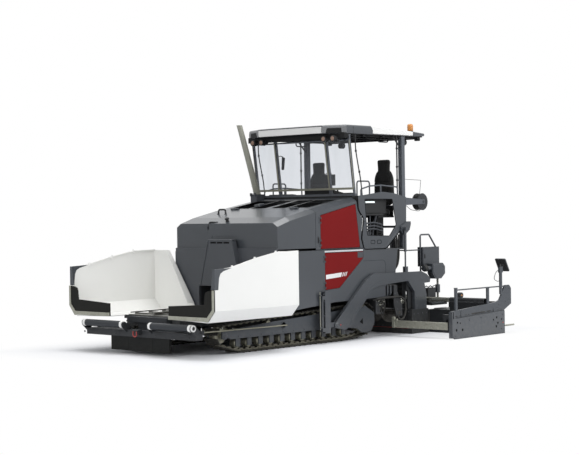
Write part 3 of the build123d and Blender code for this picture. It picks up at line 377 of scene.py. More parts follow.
def copies(shape, offsets):
    """The same shape moved by each offset."""
    return repeated(shape, shape[0][None] + np.atleast_2d(np.asarray(offsets, float))[:, None])


def mirrored(*shapes):
    """Shapes on the machine's other side, as one: x changes sign and every face is walked backwards."""
    points, ring, counts = joined(*shapes)
    return points * (-1.0, 1.0, 1.0), ring[::-1].copy(), counts[::-1].copy()


def both_sides(*shapes):
    """Shapes and their mirror images, as one."""
    return joined(joined(*shapes), mirrored(*shapes))


sides = (("left", joined), ("right", mirrored))
smooth_below = math.radians(32.0)


def mesh_of(name, shape):
    """Blender mesh of a shape."""
    points, ring, counts = shape
    mesh = bpy.data.meshes.new(name)
    mesh.vertices.add(len(points))
    mesh.vertices.foreach_set("co", points.ravel())
    mesh.loops.add(len(ring))
    mesh.loops.foreach_set("vertex_index", ring.astype(np.int32))
    mesh.polygons.add(len(counts))
    mesh.polygons.foreach_set("loop_start", (np.cumsum(counts) - counts).astype(np.int32))
    mesh.update(calc_edges=True)
    return mesh


def make(name, body, slot, *groups, laid=joined):
    """Piece of (material, shapes...) groups, each laid out as one, riding on a CAD body.  Edges that turn
    by less than smooth_below are shaded smooth."""
    shapes = [laid(*group[1:]) for group in groups]
    mesh = mesh_of(name, joined(*shapes))
    owner = np.repeat(np.arange(len(shapes)), [len(shape[2]) for shape in shapes])
    for group in groups:
        mesh.materials.append(group[0])
    mesh.polygons.foreach_set("material_index", owner.astype(np.int32))
    mesh.polygons.foreach_set("use_smooth", np.ones(len(owner), bool))
    mesh.set_sharp_from_angle(angle=smooth_below)
    piece = bpy.data.objects.new(name, mesh)
    bpy.context.scene.collection.objects.link(piece)
    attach(piece, body)
    return piece


def worn_metal(name, colour, roughness=0.38, stretch=(40.0, 3.0, 40.0), dark_share=0.55,
        metallic=0.85, **coat):
    """Bare steel with scratches drawn out along one axis and darker stained patches."""
    material = coated(name, colour, roughness=roughness, metallic=metallic, **coat)
    colour = rgb(*colour)
    tree, shader = shading(material)
    scratches = spread(tree, speckle(tree, stretched(tree, stretch), 6.0, 4.0, 0.6), 0.38, 0.62)
    stains = spread(tree, speckle(tree, stretched(tree, (1.0, 1.0, 1.0)), 7.0, 6.0, 0.65), 0.45, 0.75)
    stained = tinted(tree, sums(tree, "MULTIPLY", stains, dark_share), source(shader, "Base Color"),
        toned(colour, 0.35))
    rough = sums(tree, "MULTIPLY_ADD", stains, 0.25, source(shader, "Roughness"), clamp=True)
    scratched = tinted(tree, sums(tree, "MULTIPLY", scratches, 0.3), stained, toned(colour, 1.5))
    fill(tree, shader, {"Base Color": scratched, "Roughness": rough})
    return material


slat_steel = worn_metal("slat_steel", (120, 120, 116), stretch=(40.0, 3.0, 40.0))
chain_steel = worn_metal("chain_steel", (70, 68, 64), roughness=0.5, dark_share=0.8)
repaint(slat_steel, "conveyors")
lane_low, lane_high = corners("conveyors")
link_pitch = 0.06
link_side = rect(-0.031, 0.0, 0.031, 0.018)
link = joined(*[plate(link_side, "x", x, x + 0.004, 0.0005) for x in (-0.014, 0.01)],
    plate(rect(0.024, 0.002, 0.036, 0.016), "x", -0.01, 0.01, 0.002))
link_count = int((lane_high[1] - lane_low[1] - 0.1) / link_pitch)
link_ys = lane_low[1] + 0.06 + link_pitch * np.arange(link_count)
strand_xs = np.array([-0.045, -0.562, 0.045, 0.562])
link_spots = np.stack(np.broadcast_arrays(strand_xs[:, None], link_ys[None], lane_low[2] + 0.033),
    axis=-1).reshape(-1, 3)
make("conveyor_chains", "tractor", "bare_steel", (chain_steel, copies(link, link_spots)))


# ---------------------------------------------------------------- tracks
# Each track is a chain of forged links on pins, with a pressed steel shoe bolted on every pair of
# links.  The shoes have a tall and a short bar across them, and their edges are scoured bright and
# carry a painted highlight.
def chain_line(wheels, stations):
    """Closed line stretched round wheels (y, z, radius): for each direction, the point furthest along it on
    any wheel, then evened out to equal steps.  Gives points and unit tangents in the (y, z) plane."""
    wheels = np.asarray(wheels, float)
    angle = np.linspace(0.0, 2.0 * np.pi, 1441)
    away = np.column_stack([np.cos(angle), np.sin(angle)])
    reach = away @ wheels[:, :2].T + wheels[:, 2]
    best = wheels[reach.argmax(axis=1)]
    line = best[:, :2] + best[:, 2:] * away
    along = np.concatenate([[0.0], np.cumsum(np.linalg.norm(np.diff(line, axis=0), axis=1))])
    here = (np.arange(stations) + 0.5) * along[-1] / stations
    step = 0.5 * along[-1] / stations
    ends = [np.column_stack([np.interp((here + s) % along[-1], along, line[:, k]) for k in (0, 1)])
        for s in (-step, step)]
    tangent = ends[1] - ends[0]
    tangent /= np.linalg.norm(tangent, axis=1, keepdims=True)
    return (ends[0] + ends[1]) / 2.0, tangent


def along_chain(shape, spots, tangents, x):
    """One copy of a shape at each station of a chain line: its x along the tangent, y outwards, z across."""
    points = shape[0]
    outwards = np.column_stack([tangents[:, 1], -tangents[:, 0]])
    flat = spots[:, None] + points[None, :, :1] * tangents[:, None] + points[None, :, 1:2] * outwards[:, None]
    width = np.broadcast_to(x + points[None, :, 2:], (len(spots), len(points), 1))
    return outward(repeated(shape, np.concatenate([width, flat], axis=2)))


def turned(profile, around=20, centre=(0, 0, 0), direction=(1, 0, 0)):
    """Part turned on a lathe: each (distance along the axis, radius) of its profile makes a circle."""
    along, radius = np.array(profile, float).T
    direction = np.asarray(direction, float) / np.linalg.norm(direction)
    side = np.cross(direction, np.eye(3)[np.abs(direction).argmin()])
    side /= np.linalg.norm(side)
    other = np.cross(direction, side)
    angle = np.linspace(0.0, 2.0 * np.pi, around, endpoint=False)
    circle = np.cos(angle)[:, None] * side + np.sin(angle)[:, None] * other
    return skin(centre + along[:, None, None] * direction + radius[:, None, None] * circle)


def bolts(spots, radius=0.011, height=0.008, direction=(1, 0, 0)):
    """Hexagon bolt heads on round washers at several spots, all facing one way."""
    head = turned([(0.002, radius), (height - 0.002, radius), (height, radius * 0.8)], 6, direction=direction)
    washer = turned([(-0.001, radius * 1.45), (0.002, radius * 1.4)], 10, direction=direction)
    return copies(joined(head, washer), spots)


track_low, track_high = corners("track_left")
shoe_rise = 0.075
belt_middle_x = (track_low[0] + track_high[0]) / 2.0
roller_radius, idler_radius, sprocket_radius = 0.075, 0.12, 0.225
roller_z = track_low[2] + shoe_rise + roller_radius
idler_at = np.array([track_low[1] + shoe_rise + idler_radius, roller_z + 0.145])
sprocket_at = np.array([track_high[1] - shoe_rise - sprocket_radius,
    track_high[2] - shoe_rise - sprocket_radius - 0.004])
first_roller_y, roller_step, roller_total = idler_at[0] + 0.373, 0.262, 11
last_roller_y = first_roller_y + roller_step * (roller_total - 1)
top_roller_radius = 0.06
top_rollers = [(idler_at[0] + back, idler_at[1] + rise, top_roller_radius)
    for back, rise in ((1.113, 0.115), (2.263, 0.167))]
belt_wheels = [(*idler_at, idler_radius), (*sprocket_at, sprocket_radius), *top_rollers,
    *[(y, roller_z, roller_radius) for y in (first_roller_y, last_roller_y)]]
shoe_total = 60
chain_spots, chain_tangents = chain_line(belt_wheels, shoe_total)
half_shoe = (track_high[0] - track_low[0]) / 2.0
bar_half = half_shoe - 0.004
shoe = joined(plate([(-0.06, 0.047), (0.056, 0.047), (0.061, 0.044), (0.061, 0.054), (0.055, 0.058),
    (-0.054, 0.058), (-0.06, 0.054)], "z", -half_shoe, half_shoe, 0.002), plate([(0.03, 0.057), (0.05, 0.057),
    (0.046, 0.0745), (0.036, 0.0745)], "z", -bar_half, bar_half, 0.003), plate([(-0.052, 0.057),
    (-0.034, 0.057), (-0.037, 0.068), (-0.048, 0.068)], "z", -bar_half, bar_half, 0.002))
chain_link = [(-0.069, 0.012), (-0.058, 0.002), (-0.036, 0.006), (-0.02, 0.026), (0.02, 0.026),
    (0.036, 0.006), (0.058, 0.002), (0.069, 0.012), (0.067, 0.036), (0.052, 0.047), (-0.052, 0.047),
    (-0.067, 0.036)]
links = joined(plate(chain_link, "z", -0.045, -0.03, 0.002), plate(chain_link, "z", 0.03, 0.045, 0.002),
    turned([(-0.049, 0.012), (0.049, 0.012)], 8, (0.068, 0.022, 0.0), (0, 0, 1)))
shoe_nuts = bolts([(x, 0.057, z) for x in (-0.008, 0.016) for z in (-0.055, 0.055)], 0.011, 0.009, (0, 1, 0))
shoe_steel = worn_metal("shoe_steel", (52, 51, 47), roughness=0.52, stretch=(3.0, 30.0, 30.0), metallic=0.45,
    edge_tone=2.4, dust=0.3, dust_height=0.35, grain_scale=90.0, grain_depth=0.0012)
link_steel = worn_metal("link_steel", (98, 96, 84), roughness=0.5, stretch=(30.0, 30.0, 30.0), metallic=0.35,
    edge_tone=2.2, dust=0.5, dust_height=0.5, grain_scale=90.0, grain_depth=0.001)
shoes, chain = [along_chain(shape, chain_spots, chain_tangents, belt_middle_x)
    for shape in (joined(shoe, shoe_nuts), links)]
for side, facing in sides:
    track = make("track_chain_" + side, "tractor", "track_steel", (shoe_steel, shoes),
        (link_steel, chain), laid=facing)
    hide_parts("track_" + side)


# ---------------------------------------------------------------- track frames and wheels
# Box beams with a plate cover over the final drive.  Flanged bottom rollers run between their
# guards, and the sprocket is a toothed ring cut from plate, bright where the pins roll on it and
# along its edges from a painted highlight.
frame_coat = coated("frame_coat", (58, 62, 67), roughness=0.46, dust=0.2, dust_height=0.5)
roller_steel = worn_metal("roller_steel", (138, 136, 120), roughness=0.42, stretch=(3.0, 20.0, 20.0),
    metallic=0.35, dust=0.35, dust_height=0.4)
repaint(frame_coat, "track_frames")
repaint(roller_steel, "track_wheels")
roller_ys = first_roller_y + roller_step * np.arange(roller_total)
flange = turned([(0.0, 0.04), (0.001, 0.066), (0.007, 0.07), (0.01, 0.064), (0.012, 0.034), (0.026, 0.032),
    (0.03, 0.02)])
chain_out_x = belt_middle_x + 0.045
roller_ends = copies(flange,
    np.column_stack([np.full(roller_total, chain_out_x + 0.001), roller_ys, np.full(roller_total, roller_z)]))
top_ends = copies(turned([(0.0, 0.03), (0.001, 0.056), (0.008, 0.058), (0.012, 0.05), (0.014, 0.026),
    (0.018, 0.022)]), [(chain_out_x + 0.001, y, z) for y, z, _ in top_rollers])
tooth_total = 11
tooth_angle = np.linspace(0.0, 2.0 * np.pi, 220, endpoint=False)
tooth_height = 0.03 * np.clip(np.cos(tooth_total * tooth_angle) * 1.6 - 0.1, 0.0, 1.0)
tooth_radius = sprocket_radius - 0.004 + tooth_height
tooth_circle = np.column_stack([np.cos(tooth_angle), np.sin(tooth_angle)])
teeth = plate(sprocket_at + tooth_radius[:, None] * tooth_circle, "x", belt_middle_x - 0.022,
    belt_middle_x + 0.022, 0.003)
make("roller_flanges", "tractor", "track_steel", (roller_steel, roller_ends, top_ends), (link_steel, teeth),
    laid=both_sides)

frames_low, frames_high = corners("track_frames")
cover_face_x = frames_high[0]
beam_face_x = cover_face_x - 0.05
# Near-black for dark joints and seals, and for painted shade in holes, slots and handle recesses.
seam_and_shade_black = coated("seam_and_shade_black", (16, 17, 18), roughness=0.8, edge_tone=1.0, dust=0.05, shine=0.05)
drive_mark = sprocket_at + [(-0.17, -0.048), (-0.082, -0.095), (-0.09, 0.015)]
cover_rim = sprocket_at + [(-0.16, 0.15), (-0.01, 0.2), (0.2, 0.08), (0.21, -0.08), (0.12, -0.2),
    (-0.1, -0.205), (-0.22, -0.14)]
rim_bolts = bolts([(cover_face_x, y, z) for y, z in cover_rim], 0.01, 0.007)
beam_bolts = bolts([(beam_face_x, y, frames_low[2] + 0.165)
    for y in np.arange(idler_at[0] + 0.35, sprocket_at[0] - 0.5, 0.262)], 0.011, 0.008)
idler_cap = turned([(0.0, 0.06), (0.01, 0.06), (0.014, 0.052), (0.015, 0.03), (0.022, 0.028), (0.023, 0.01)],
    24, (beam_face_x, idler_at[0] + 0.02, idler_at[1]))
beam_rib = plate([(idler_at[0] + 0.16, frames_low[2] + 0.275), (first_roller_y + 0.74, frames_low[2] + 0.316),
    (first_roller_y + 0.74, frames_low[2] + 0.322), (idler_at[0] + 0.16, frames_low[2] + 0.281)], "x",
    beam_face_x, beam_face_x + 0.012, 0.002)
rod_low, rod_high = corners("push_beam")
rod_at = np.array([rod_high[0] - 0.095, rod_high[1] - 0.012, rod_low[2] + 0.316])
pin_ring = turned([(0.0, 0.062), (0.006, 0.062), (0.009, 0.058), (0.009, 0.047), (0.002, 0.046)], 30,
    (beam_face_x, *rod_at[1:]))
# The hole behind the pin ring is a flat black disc: painted shade.
pin_hole = turned([(-0.014, 0.044), (0.002, 0.044)], 30, (beam_face_x, *rod_at[1:]))
rod_run = np.array([rod_at[0], rod_low[1] + 0.363, rod_low[2] + 0.33]) - rod_at
long_rod = turned([(-0.004, 0.0105), (float(np.linalg.norm(rod_run)) - 0.002, 0.0105)], 12, rod_at, rod_run)
make("track_frame_fittings", "tractor", "body_grey", (frame_coat, rim_bolts, beam_bolts, idler_cap, beam_rib,
    pin_ring), (seam_and_shade_black, pin_hole, plate(drive_mark, "x", cover_face_x - 0.001, cover_face_x + 0.0015,
    0.0005)), (roller_steel, long_rod), laid=both_sides)


# ---------------------------------------------------------------- push beam and rollers
# Welded bumper beam with a rubber skirt hung under it.  Two long rollers on fixed shafts push the
# truck's wheels; each is a painted tube that turns on white end caps with a dark bearing.
beam_coat = coated("beam_coat", (42, 44, 47), roughness=0.45, dust=0.15, dust_height=0.5, shine=0.25)
skirt_rubber = coated("skirt_rubber", (25, 26, 26), roughness=0.7, edge_tone=1.2, dust=0.05,
    dust_height=0.4, shine=0.15)
repaint(beam_coat, "push_beam")
beam_low, beam_high = corners("push_beam")
skirt_top = beam_low[2] + 0.223
skirt_front = beam_low[1] + 0.108
skirt = plate(rect(-0.683, beam_low[2], 0.683, skirt_top), "y", skirt_front - 0.004,
    skirt_front + 0.049, 0.004)
skirt_seams = copies(block((-0.002, skirt_front - 0.0055, beam_low[2] + 0.003),
    (0.002, skirt_front - 0.003, skirt_top), 0.0005), [(-0.27, 0, 0), (0.3, 0, 0)])
make("push_skirt", "tractor", "rubber", (skirt_rubber, skirt), (seam_and_shade_black, skirt_seams))

roller_coat = coated("roller_coat", (45, 48, 52), roughness=0.36, edge_tone=1.2, dust=0.0, drift=0.03,
    grain_depth=0.0001, shine=0.25)
cap_white = coated("cap_white", (232, 232, 230), roughness=0.35, edge_tone=1.0, dust=0.08,
    grain_depth=0.0002, drift=0.01)
bearing_black = coated("bearing_black", (26, 27, 29), roughness=0.5)
for side, _ in sides:
    low, high = corners("push_roller_" + side)
    middle, radius, length = (low + high) / 2.0, (high[2] - low[2]) / 2.0, high[0] - low[0]
    tube = turned([(0.054, radius - 0.004), (0.056, radius - 0.0015), (length - 0.056, radius - 0.0015),
        (length - 0.054, radius - 0.004)], 48, (low[0], *middle[1:]))
    ends = [((x, *middle[1:]), (way, 0, 0)) for x, way in ((low[0], 1), (high[0], -1))]
    caps = [turned([(0.001, radius - 0.014), (0.001, radius - 0.006), (0.006, radius), (0.046, radius),
        (0.052, radius - 0.006), (0.056, radius - 0.01)], 40, spot, way) for spot, way in ends]
    hubs = [turned([(0.0, 0.019), (0.0, radius - 0.016), (0.004, radius - 0.013)], 32, spot, way)
        for spot, way in ends]
    roller = make("push_roller_tube_" + side, "push_roller_" + side, "dark_steel", (roller_coat, tube),
        (cap_white, *caps), (bearing_black, *hubs))
    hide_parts("push_roller_" + side)
cheek_x = beam_high[0]
cap_spot = (cheek_x, middle[1] + 0.006, middle[2])
end_cap = turned([(0.0, 0.053), (0.012, 0.053), (0.017, 0.048), (0.017, 0.032), (0.013, 0.03)], 36, cap_spot)
end_hub = turned([(0.0, 0.029), (0.015, 0.029), (0.016, 0.024), (0.019, 0.022), (0.021, 0.01)], 24, cap_spot)
beam_top = beam_low[2] + 0.328
pads = joined(*[block((x, beam_low[1] + 0.006, beam_top - 0.004),
    (x + 0.16, beam_low[1] + 0.075, beam_top + 0.003), 0.003) for x in (-1.2, -0.55, 0.39, 1.04)])
make("beam_end_caps", "tractor", "hopper_white", (cap_white, end_cap), (bearing_black, end_hub),
    laid=both_sides)
make("beam_fittings", "tractor", "dark_steel", (beam_coat, pads,
    bolts([(x, beam_low[1] + 0.009, beam_top - 0.055) for x in (-1.22, -0.84, -0.46, 0.46, 0.84, 1.22)],
    0.012, direction=(0, -1, 0))))

hook_red = coated("hook_red", (168, 58, 54), roughness=0.36, edge_tone=1.3, edge_radius=0.002, dust=0.15)
repaint(hook_red, "tow_shackle")
shackle_low, shackle_high = corners("tow_shackle")
pin_y, pin_z = shackle_low[1] + 0.008, shackle_high[2] - 0.005
shackle_pin = joined(turned([(0.0, 0.011), (0.108, 0.011)], 14, (-0.054, pin_y, pin_z)),
    turned([(-0.005, 0.015), (0.008, 0.017), (0.012, 0.012)], 6, (0.054, pin_y, pin_z)))
make("shackle_pin", "tractor", "dark_steel", (beam_coat, shackle_pin))


# ---------------------------------------------------------------- hopper
# Two folding wings of white enamelled plate.  A rubber flap with a bare steel clamp strip closes
# each wing's front, and pressed grey corner pieces guard the top of the front edges.
hopper_white = coated("hopper_white", (233, 233, 230), roughness=0.4, edge_tone=1.0, dust=0.12,
    dust_height=0.9, drift=0.015, grain_scale=150.0)
slate_coat = coated("slate_coat", (61, 65, 70), roughness=0.36, dust=0.2, dust_height=0.8,
    shine=0.25, gloss=0.7)
dark_slate = coated("dark_slate", (66, 69, 74), roughness=0.45, dust=0.2)
repaint(hopper_white, "hopper_wing_left", "hopper_wing_right")
repaint(dark_slate, "hopper_bulkhead")
flap_rubber = coated("flap_rubber", (29, 29, 27), roughness=0.72, edge_tone=1.25, dust=0.1, grain_scale=130.0,
    grain_depth=0.0008, shine=0.15)
strip_steel = worn_metal("strip_steel", (156, 156, 144), roughness=0.36, stretch=(3.0, 30.0, 30.0),
    dark_share=0.35, metallic=0.55)
wing_low, wing_high = corners("hopper_wing_left")
wall_x, front_y = wing_high[0], wing_low[1]
flap_low, flap_high = corners("hopper_flap_left")
flap_outline = [(0.69, 0.6), (1.48, 0.6), (1.56, 0.592), (1.688, 0.748), (1.688, 1.062), (1.625, 1.062),
    (1.56, 1.052), (1.51, 1.03), (1.49, 0.99), (1.474, 0.842), (1.38, 0.838), (0.69, 0.8)]
clamp_outline = [(0.69, 0.59), (1.475, 0.59), (1.562, 0.58), (1.695, 0.739), (1.695, 1.066), (1.655, 1.066),
    (1.655, 0.77), (1.545, 0.65), (0.69, 0.65)]
to_wall = np.array([wall_x - 1.695, 0.0])
rubber_sheet = plate(np.array(flap_outline) + to_wall, "y", flap_high[1] - 0.0255,
    flap_high[1] - 0.0005, 0.004)
clamp = plate(np.array(clamp_outline) + to_wall, "y", flap_low[1] + 0.003, flap_high[1] - 0.0255, 0.002)
clamp_bolts = bolts([(x, flap_low[1] + 0.008, 0.62) for x in np.arange(0.74, 1.5, 0.124)]
    + [(wall_x - 0.02, flap_low[1] + 0.008, z) for z in (0.8, 0.9, 1.0)], 0.009, 0.007, (0, -1, 0))
corner_piece = [(front_y - 0.003, 1.07), (front_y + 0.068, 1.07), (front_y + 0.09, 1.255),
    (front_y + 0.12, 1.315), (front_y + 0.185, 1.35), (front_y + 0.365, 1.3935), (front_y + 0.15, 1.3875),
    (front_y - 0.003, 1.3815)]
corner_guard = joined(plate(corner_piece, "x", wall_x - 0.016, wall_x + 0.0035, 0.002),
    plate([(wall_x - 0.085, 1.075), (wall_x + 0.0035, 1.07), (wall_x + 0.0035, 1.3815),
    (wall_x - 0.045, 1.379), (wall_x - 0.06, 1.2)], "y", front_y - 0.008, front_y + 0.001, 0.002))
rim_line = [(front_y + 0.393, 1.41), (front_y + 0.9, 1.522), (front_y + 1.383, 1.603),
    (front_y + 1.895, 1.612)]
top_lugs = joined(*[plate([(y - 0.028, z - 0.045), (y + 0.028, z - 0.035), (y + 0.01, z + 0.022),
    (y - 0.01, z + 0.022)], "x", wall_x - 0.034, wall_x - 0.011, 0.002) for y, z in rim_line[:3]])
lip = joined(*[plate([(y0, z0 - 0.02), (y1, z1 - 0.02), (y1, z1 + 0.002), (y0, z0 + 0.002)], "x",
    wall_x - 0.022, wall_x - 0.009, 0.002) for (y0, z0), (y1, z1) in zip(rim_line, rim_line[1:])])
crease_step = plate([(front_y + 0.02, 0.752), (front_y + 0.88, 0.766), (front_y + 0.9, 0.786),
    (-1.445, 0.796), (-1.445, 0.79), (front_y + 0.9, 0.779), (front_y + 0.88, 0.758),
    (front_y + 0.02, 0.745)], "x", wall_x - 0.002, wall_x + 0.0015, 0.0005)
for side, facing in sides:
    flap = make("hopper_flap_sheet_" + side, "wing_" + side, "rubber", (flap_rubber, rubber_sheet),
        (strip_steel, clamp), (roller_steel, clamp_bolts), laid=facing)
    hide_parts("hopper_flap_" + side)
    make("hopper_corner_" + side, "wing_" + side, "body_grey", (slate_coat, corner_guard),
        (hopper_white, top_lugs, lip, crease_step), laid=facing)

bulkhead_low, bulkhead_high = corners("hopper_bulkhead")
guard_y, guard_top = bulkhead_low[1], bulkhead_high[2]
# The guard's slots are flat black plates: painted shade in the openings.
slots = copies(plate(rect(-0.065, -0.013, 0.065, 0.013), "y", guard_y - 0.0015, guard_y + 0.001, 0.0004),
    [(x, 0, guard_top - 0.05) for x in (-0.155, 0.0, 0.155)])
guard_lip = block((-0.278, guard_y - 0.014, guard_top - 0.018),
    (0.278, guard_y + 0.1, guard_top + 0.003), 0.006)
guard_sides = both_sides(plate([(0.262, guard_top), (0.276, guard_top), (0.478, guard_top - 0.775),
    (0.464, guard_top - 0.775)], "y", guard_y - 0.01, guard_y + 0.004, 0.003))
lip_y, lip_rear_y = guard_y + 0.088, guard_y + 0.11
tunnel_lip = joined(block((-0.62, lip_y, 0.998), (0.62, lip_rear_y, 1.03), 0.004),
    both_sides(block((0.6, lip_y, 0.66), (0.622, lip_rear_y, 1.01), 0.004)))
make("hopper_guard_trim", "tractor", "body_grey", (slate_coat, guard_lip, guard_sides, tunnel_lip),
    (seam_and_shade_black, slots))


# ---------------------------------------------------------------- hood
# Bevelled sheet hood in two parts: the front one tilts on a rod across the seam, the rear one is
# fixed and carries the cooling vents.  Louvres and a guard grille lie just under each vent.
def rounded(outline, radius, steps=4):
    """Closed outline with eased corners: each one becomes a parabola that leaves both edges at the same
    distance from the corner."""
    outline = np.asarray(outline, float)
    before, after = np.roll(outline, 1, axis=0) - outline, np.roll(outline, -1, axis=0) - outline
    back = np.linalg.norm(before, axis=1, keepdims=True)
    ahead = np.linalg.norm(after, axis=1, keepdims=True)
    reach = np.minimum(radius, 0.45 * np.minimum(back, ahead))
    start, end = outline + before / back * reach, outline + after / ahead * reach
    share = np.linspace(0.0, 1.0, steps + 1)[None, :, None]
    curve = ((1 - share) ** 2 * start[:, None] + 2 * share * (1 - share) * outline[:, None]
        + share ** 2 * end[:, None])
    return curve.reshape(-1, outline.shape[1])


def bent(points, radius, steps=5):
    """Open path with its inner corners eased as above and its ends kept."""
    points = np.asarray(points, float)
    inner = rounded(points, radius, steps).reshape(len(points), steps + 1, -1)[1:-1]
    return np.concatenate([points[:1], inner.reshape(-1, points.shape[1]), points[-1:]])


def pipe(path, radius, around=10):
    """Round bar or hose along a path: circles across it, their first spoke square to the path and to the
    axis that it follows least."""
    path = np.asarray(path, float)
    along = np.gradient(path, axis=0)
    along /= np.linalg.norm(along, axis=1, keepdims=True)
    side = np.cross(along, np.eye(3)[np.abs(along).max(axis=0).argmin()])
    side /= np.linalg.norm(side, axis=1, keepdims=True)
    other = np.cross(along, side)
    angle = np.linspace(0.0, 2.0 * np.pi, around, endpoint=False)[None, :, None]
    radius = np.broadcast_to(radius, len(path))[:, None, None]
    return skin(path[:, None] + radius * (np.cos(angle) * side[:, None] + np.sin(angle) * other[:, None]))


def hoop(outline, axis, level, radius, lap=1, around=8):
    """Round bar along a closed outline in the plane across an axis, its end lapping over the first points."""
    ring = np.concatenate([outline, outline[:lap]])
    return pipe(np.insert(ring, "xyz".index(axis), level, axis=1), radius, around)


def hood_z(y):
    """Height of the hood's top at a y."""
    return np.interp(y, hood_ys, hood_zs)


def sloped(shape):
    """The shape lifted by the hood's height at each point's y."""
    points, ring, counts = shape
    lifted = points.copy()
    lifted[:, 2] += hood_z(points[:, 1])
    return lifted, ring, counts


black_plastic = coated("black_plastic", (30, 31, 32), roughness=0.6, edge_tone=1.5, grain_scale=380.0,
    grain_depth=0.0006)
repaint(slate_coat, "tilting_hood", "fixed_hood", "side_panels")
tilt_low, tilt_high = corners("tilting_hood")
fixed_low, fixed_high = corners("fixed_hood")
hood_ys = tilt_low[1] + np.array([0.0, 0.302, 0.948, 2.03])
hood_zs = fixed_high[2] + np.array([-0.419, -0.325, -0.189, 0.0])
seam_y = hood_ys[2]

vent_front_y, vent_rear_y = seam_y + 0.107, seam_y + 0.847
louvre_pitch = 0.052
louvres, rims = [], []
for inner_x, outer_x in ((0.06, 0.41), (0.465, 0.93)):
    louvre = plate([(-0.03, -0.092), (-0.024, -0.096), (0.006, -0.056), (0.0, -0.052)], "x", inner_x - 0.02,
        outer_x + 0.02, 0.001)
    louvres.append(copies(louvre,
        [(0.0, y, 0.0) for y in np.arange(vent_front_y + 0.02, vent_rear_y + 0.03, louvre_pitch)]))
    ribs = block((-0.006, vent_front_y - 0.02, -0.07), (0.006, vent_rear_y + 0.02, -0.046), 0.001)
    louvres.append(copies(ribs, [(x, 0, 0) for x in np.linspace(inner_x, outer_x, 5)[1:-1]]))
    opening = rect(inner_x, vent_front_y, outer_x, vent_rear_y)
    rims.append(pipe([(x, y, -0.003)
        for x, y in rounded(opening, 0.012)] + [(inner_x + 0.012, vent_front_y, -0.003)], 0.006, 8))
vent_parts, vent_rims = sloped(joined(*louvres)), sloped(joined(*rims))
cap_box = sloped(plate(rounded(rect(-0.505, seam_y + 0.29, -0.372, seam_y + 0.43), 0.012), "z", -0.004,
    0.034, 0.006))
make("hood_vents", "tractor", "lamp_black", (seam_and_shade_black, vent_parts), (flap_rubber, vent_rims),
    laid=both_sides)
make("hood_cap", "tractor", "body_grey", (slate_coat, cap_box))

grip_y, knob_y, hood_face_y = tilt_low[1] + 0.615, tilt_low[1] + 0.1, tilt_low[1]
grip_z, catch_z = hood_z(grip_y), tilt_low[2] + 0.375
hood_grip = pipe(bent([(-0.775, grip_y, grip_z - 0.002), (-0.765, grip_y, grip_z + 0.078),
    (-0.605, grip_y, grip_z + 0.078), (-0.595, grip_y, grip_z - 0.002)], 0.035), 0.015)
grip_feet = copies(turned([(-0.002, 0.024), (0.004, 0.024), (0.008, 0.018)], 14, direction=(0, 0, 1)),
    [(-0.775, grip_y, grip_z), (-0.595, grip_y, grip_z)])
knob = turned([(-0.002, 0.034), (0.01, 0.034), (0.016, 0.022), (0.026, 0.02), (0.032, 0.036), (0.056, 0.039),
    (0.066, 0.031), (0.068, 0.01)], 20, (-0.05, knob_y, hood_z(knob_y)), (0, -0.3, 1))
catch = joined(plate(rounded(rect(-0.432, catch_z - 0.04, -0.4, catch_z + 0.01), 0.006), "y",
    hood_face_y, hood_face_y + 0.001, 0.0003), pipe(bent([(-0.416, hood_face_y + 0.002, catch_z),
    (-0.4, hood_face_y + 0.02, catch_z + 0.085), (-0.25, hood_face_y + 0.07, catch_z + 0.08)], 0.03), 0.013))
face_fill = block((-0.345, hood_face_y + 0.006, 1.6), (0.345, hood_face_y + 0.022, 1.86), 0.002)
make("hood_handles", "hood", "lamp_black", (black_plastic, hood_grip, grip_feet, knob, catch),
    (slate_coat, face_fill))

side_x = tilt_high[0]
post_y = seam_y + 0.07
latch_plate = plate(rounded(rect(post_y - 0.017, 1.695, post_y + 0.017, 1.812), 0.014), "x", side_x - 0.001,
    side_x + 0.003, 0.001)
latch_lever = plate(rounded(rect(post_y - 0.009, 1.708, post_y + 0.009, 1.79), 0.008), "x", side_x + 0.003,
    side_x + 0.014, 0.003)
hood_seal = block((-side_x + 0.02, seam_y - 0.004, fixed_low[2] + 0.06),
    (-side_x + 0.008, seam_y + 0.004, hood_zs[2] - 0.1), 0.001)
make("hood_latches", "tractor", "lamp_black", (black_plastic, latch_plate, latch_lever),
    (seam_and_shade_black, hood_seal), laid=both_sides)


# ---------------------------------------------------------------- side doors
# Two sheet doors a side, in red gloss enamel, over and under a bright trim strip.  The lower one
# has a keypad at its rear corner and a blank white badge bar with slanted ends.
panel_red = coated("panel_red", (114, 10, 12), roughness=0.34, edge_tone=1.25, dust=0.05, drift=0.05,
    grain_depth=0.0002, shine=0.12, gloss=0.05)
trim_silver = coated("trim_silver", (206, 208, 210), roughness=0.28, edge_tone=1.1, metallic=0.25,
    grain_depth=0.0001)
badge_white = coated("badge_white", (226, 227, 227), roughness=0.3, edge_tone=1.0, dust=0.1)
repaint(panel_red, "engine_door_left", "engine_door_right", "service_door_left", "service_door_right")
panels_low, panels_high = corners("side_panels")
service_low, service_high = corners("service_door_left")
body_x = service_low[0] + 0.01
strip = plate(rounded(rect(service_low[1], panels_high[2] - 0.04, service_high[1] - 0.005,
    panels_high[2] - 0.012), 0.004), "x", body_x - 0.0005, body_x + 0.004, 0.001)
make("door_strip", "tractor", "chrome", (trim_silver, strip), laid=both_sides)

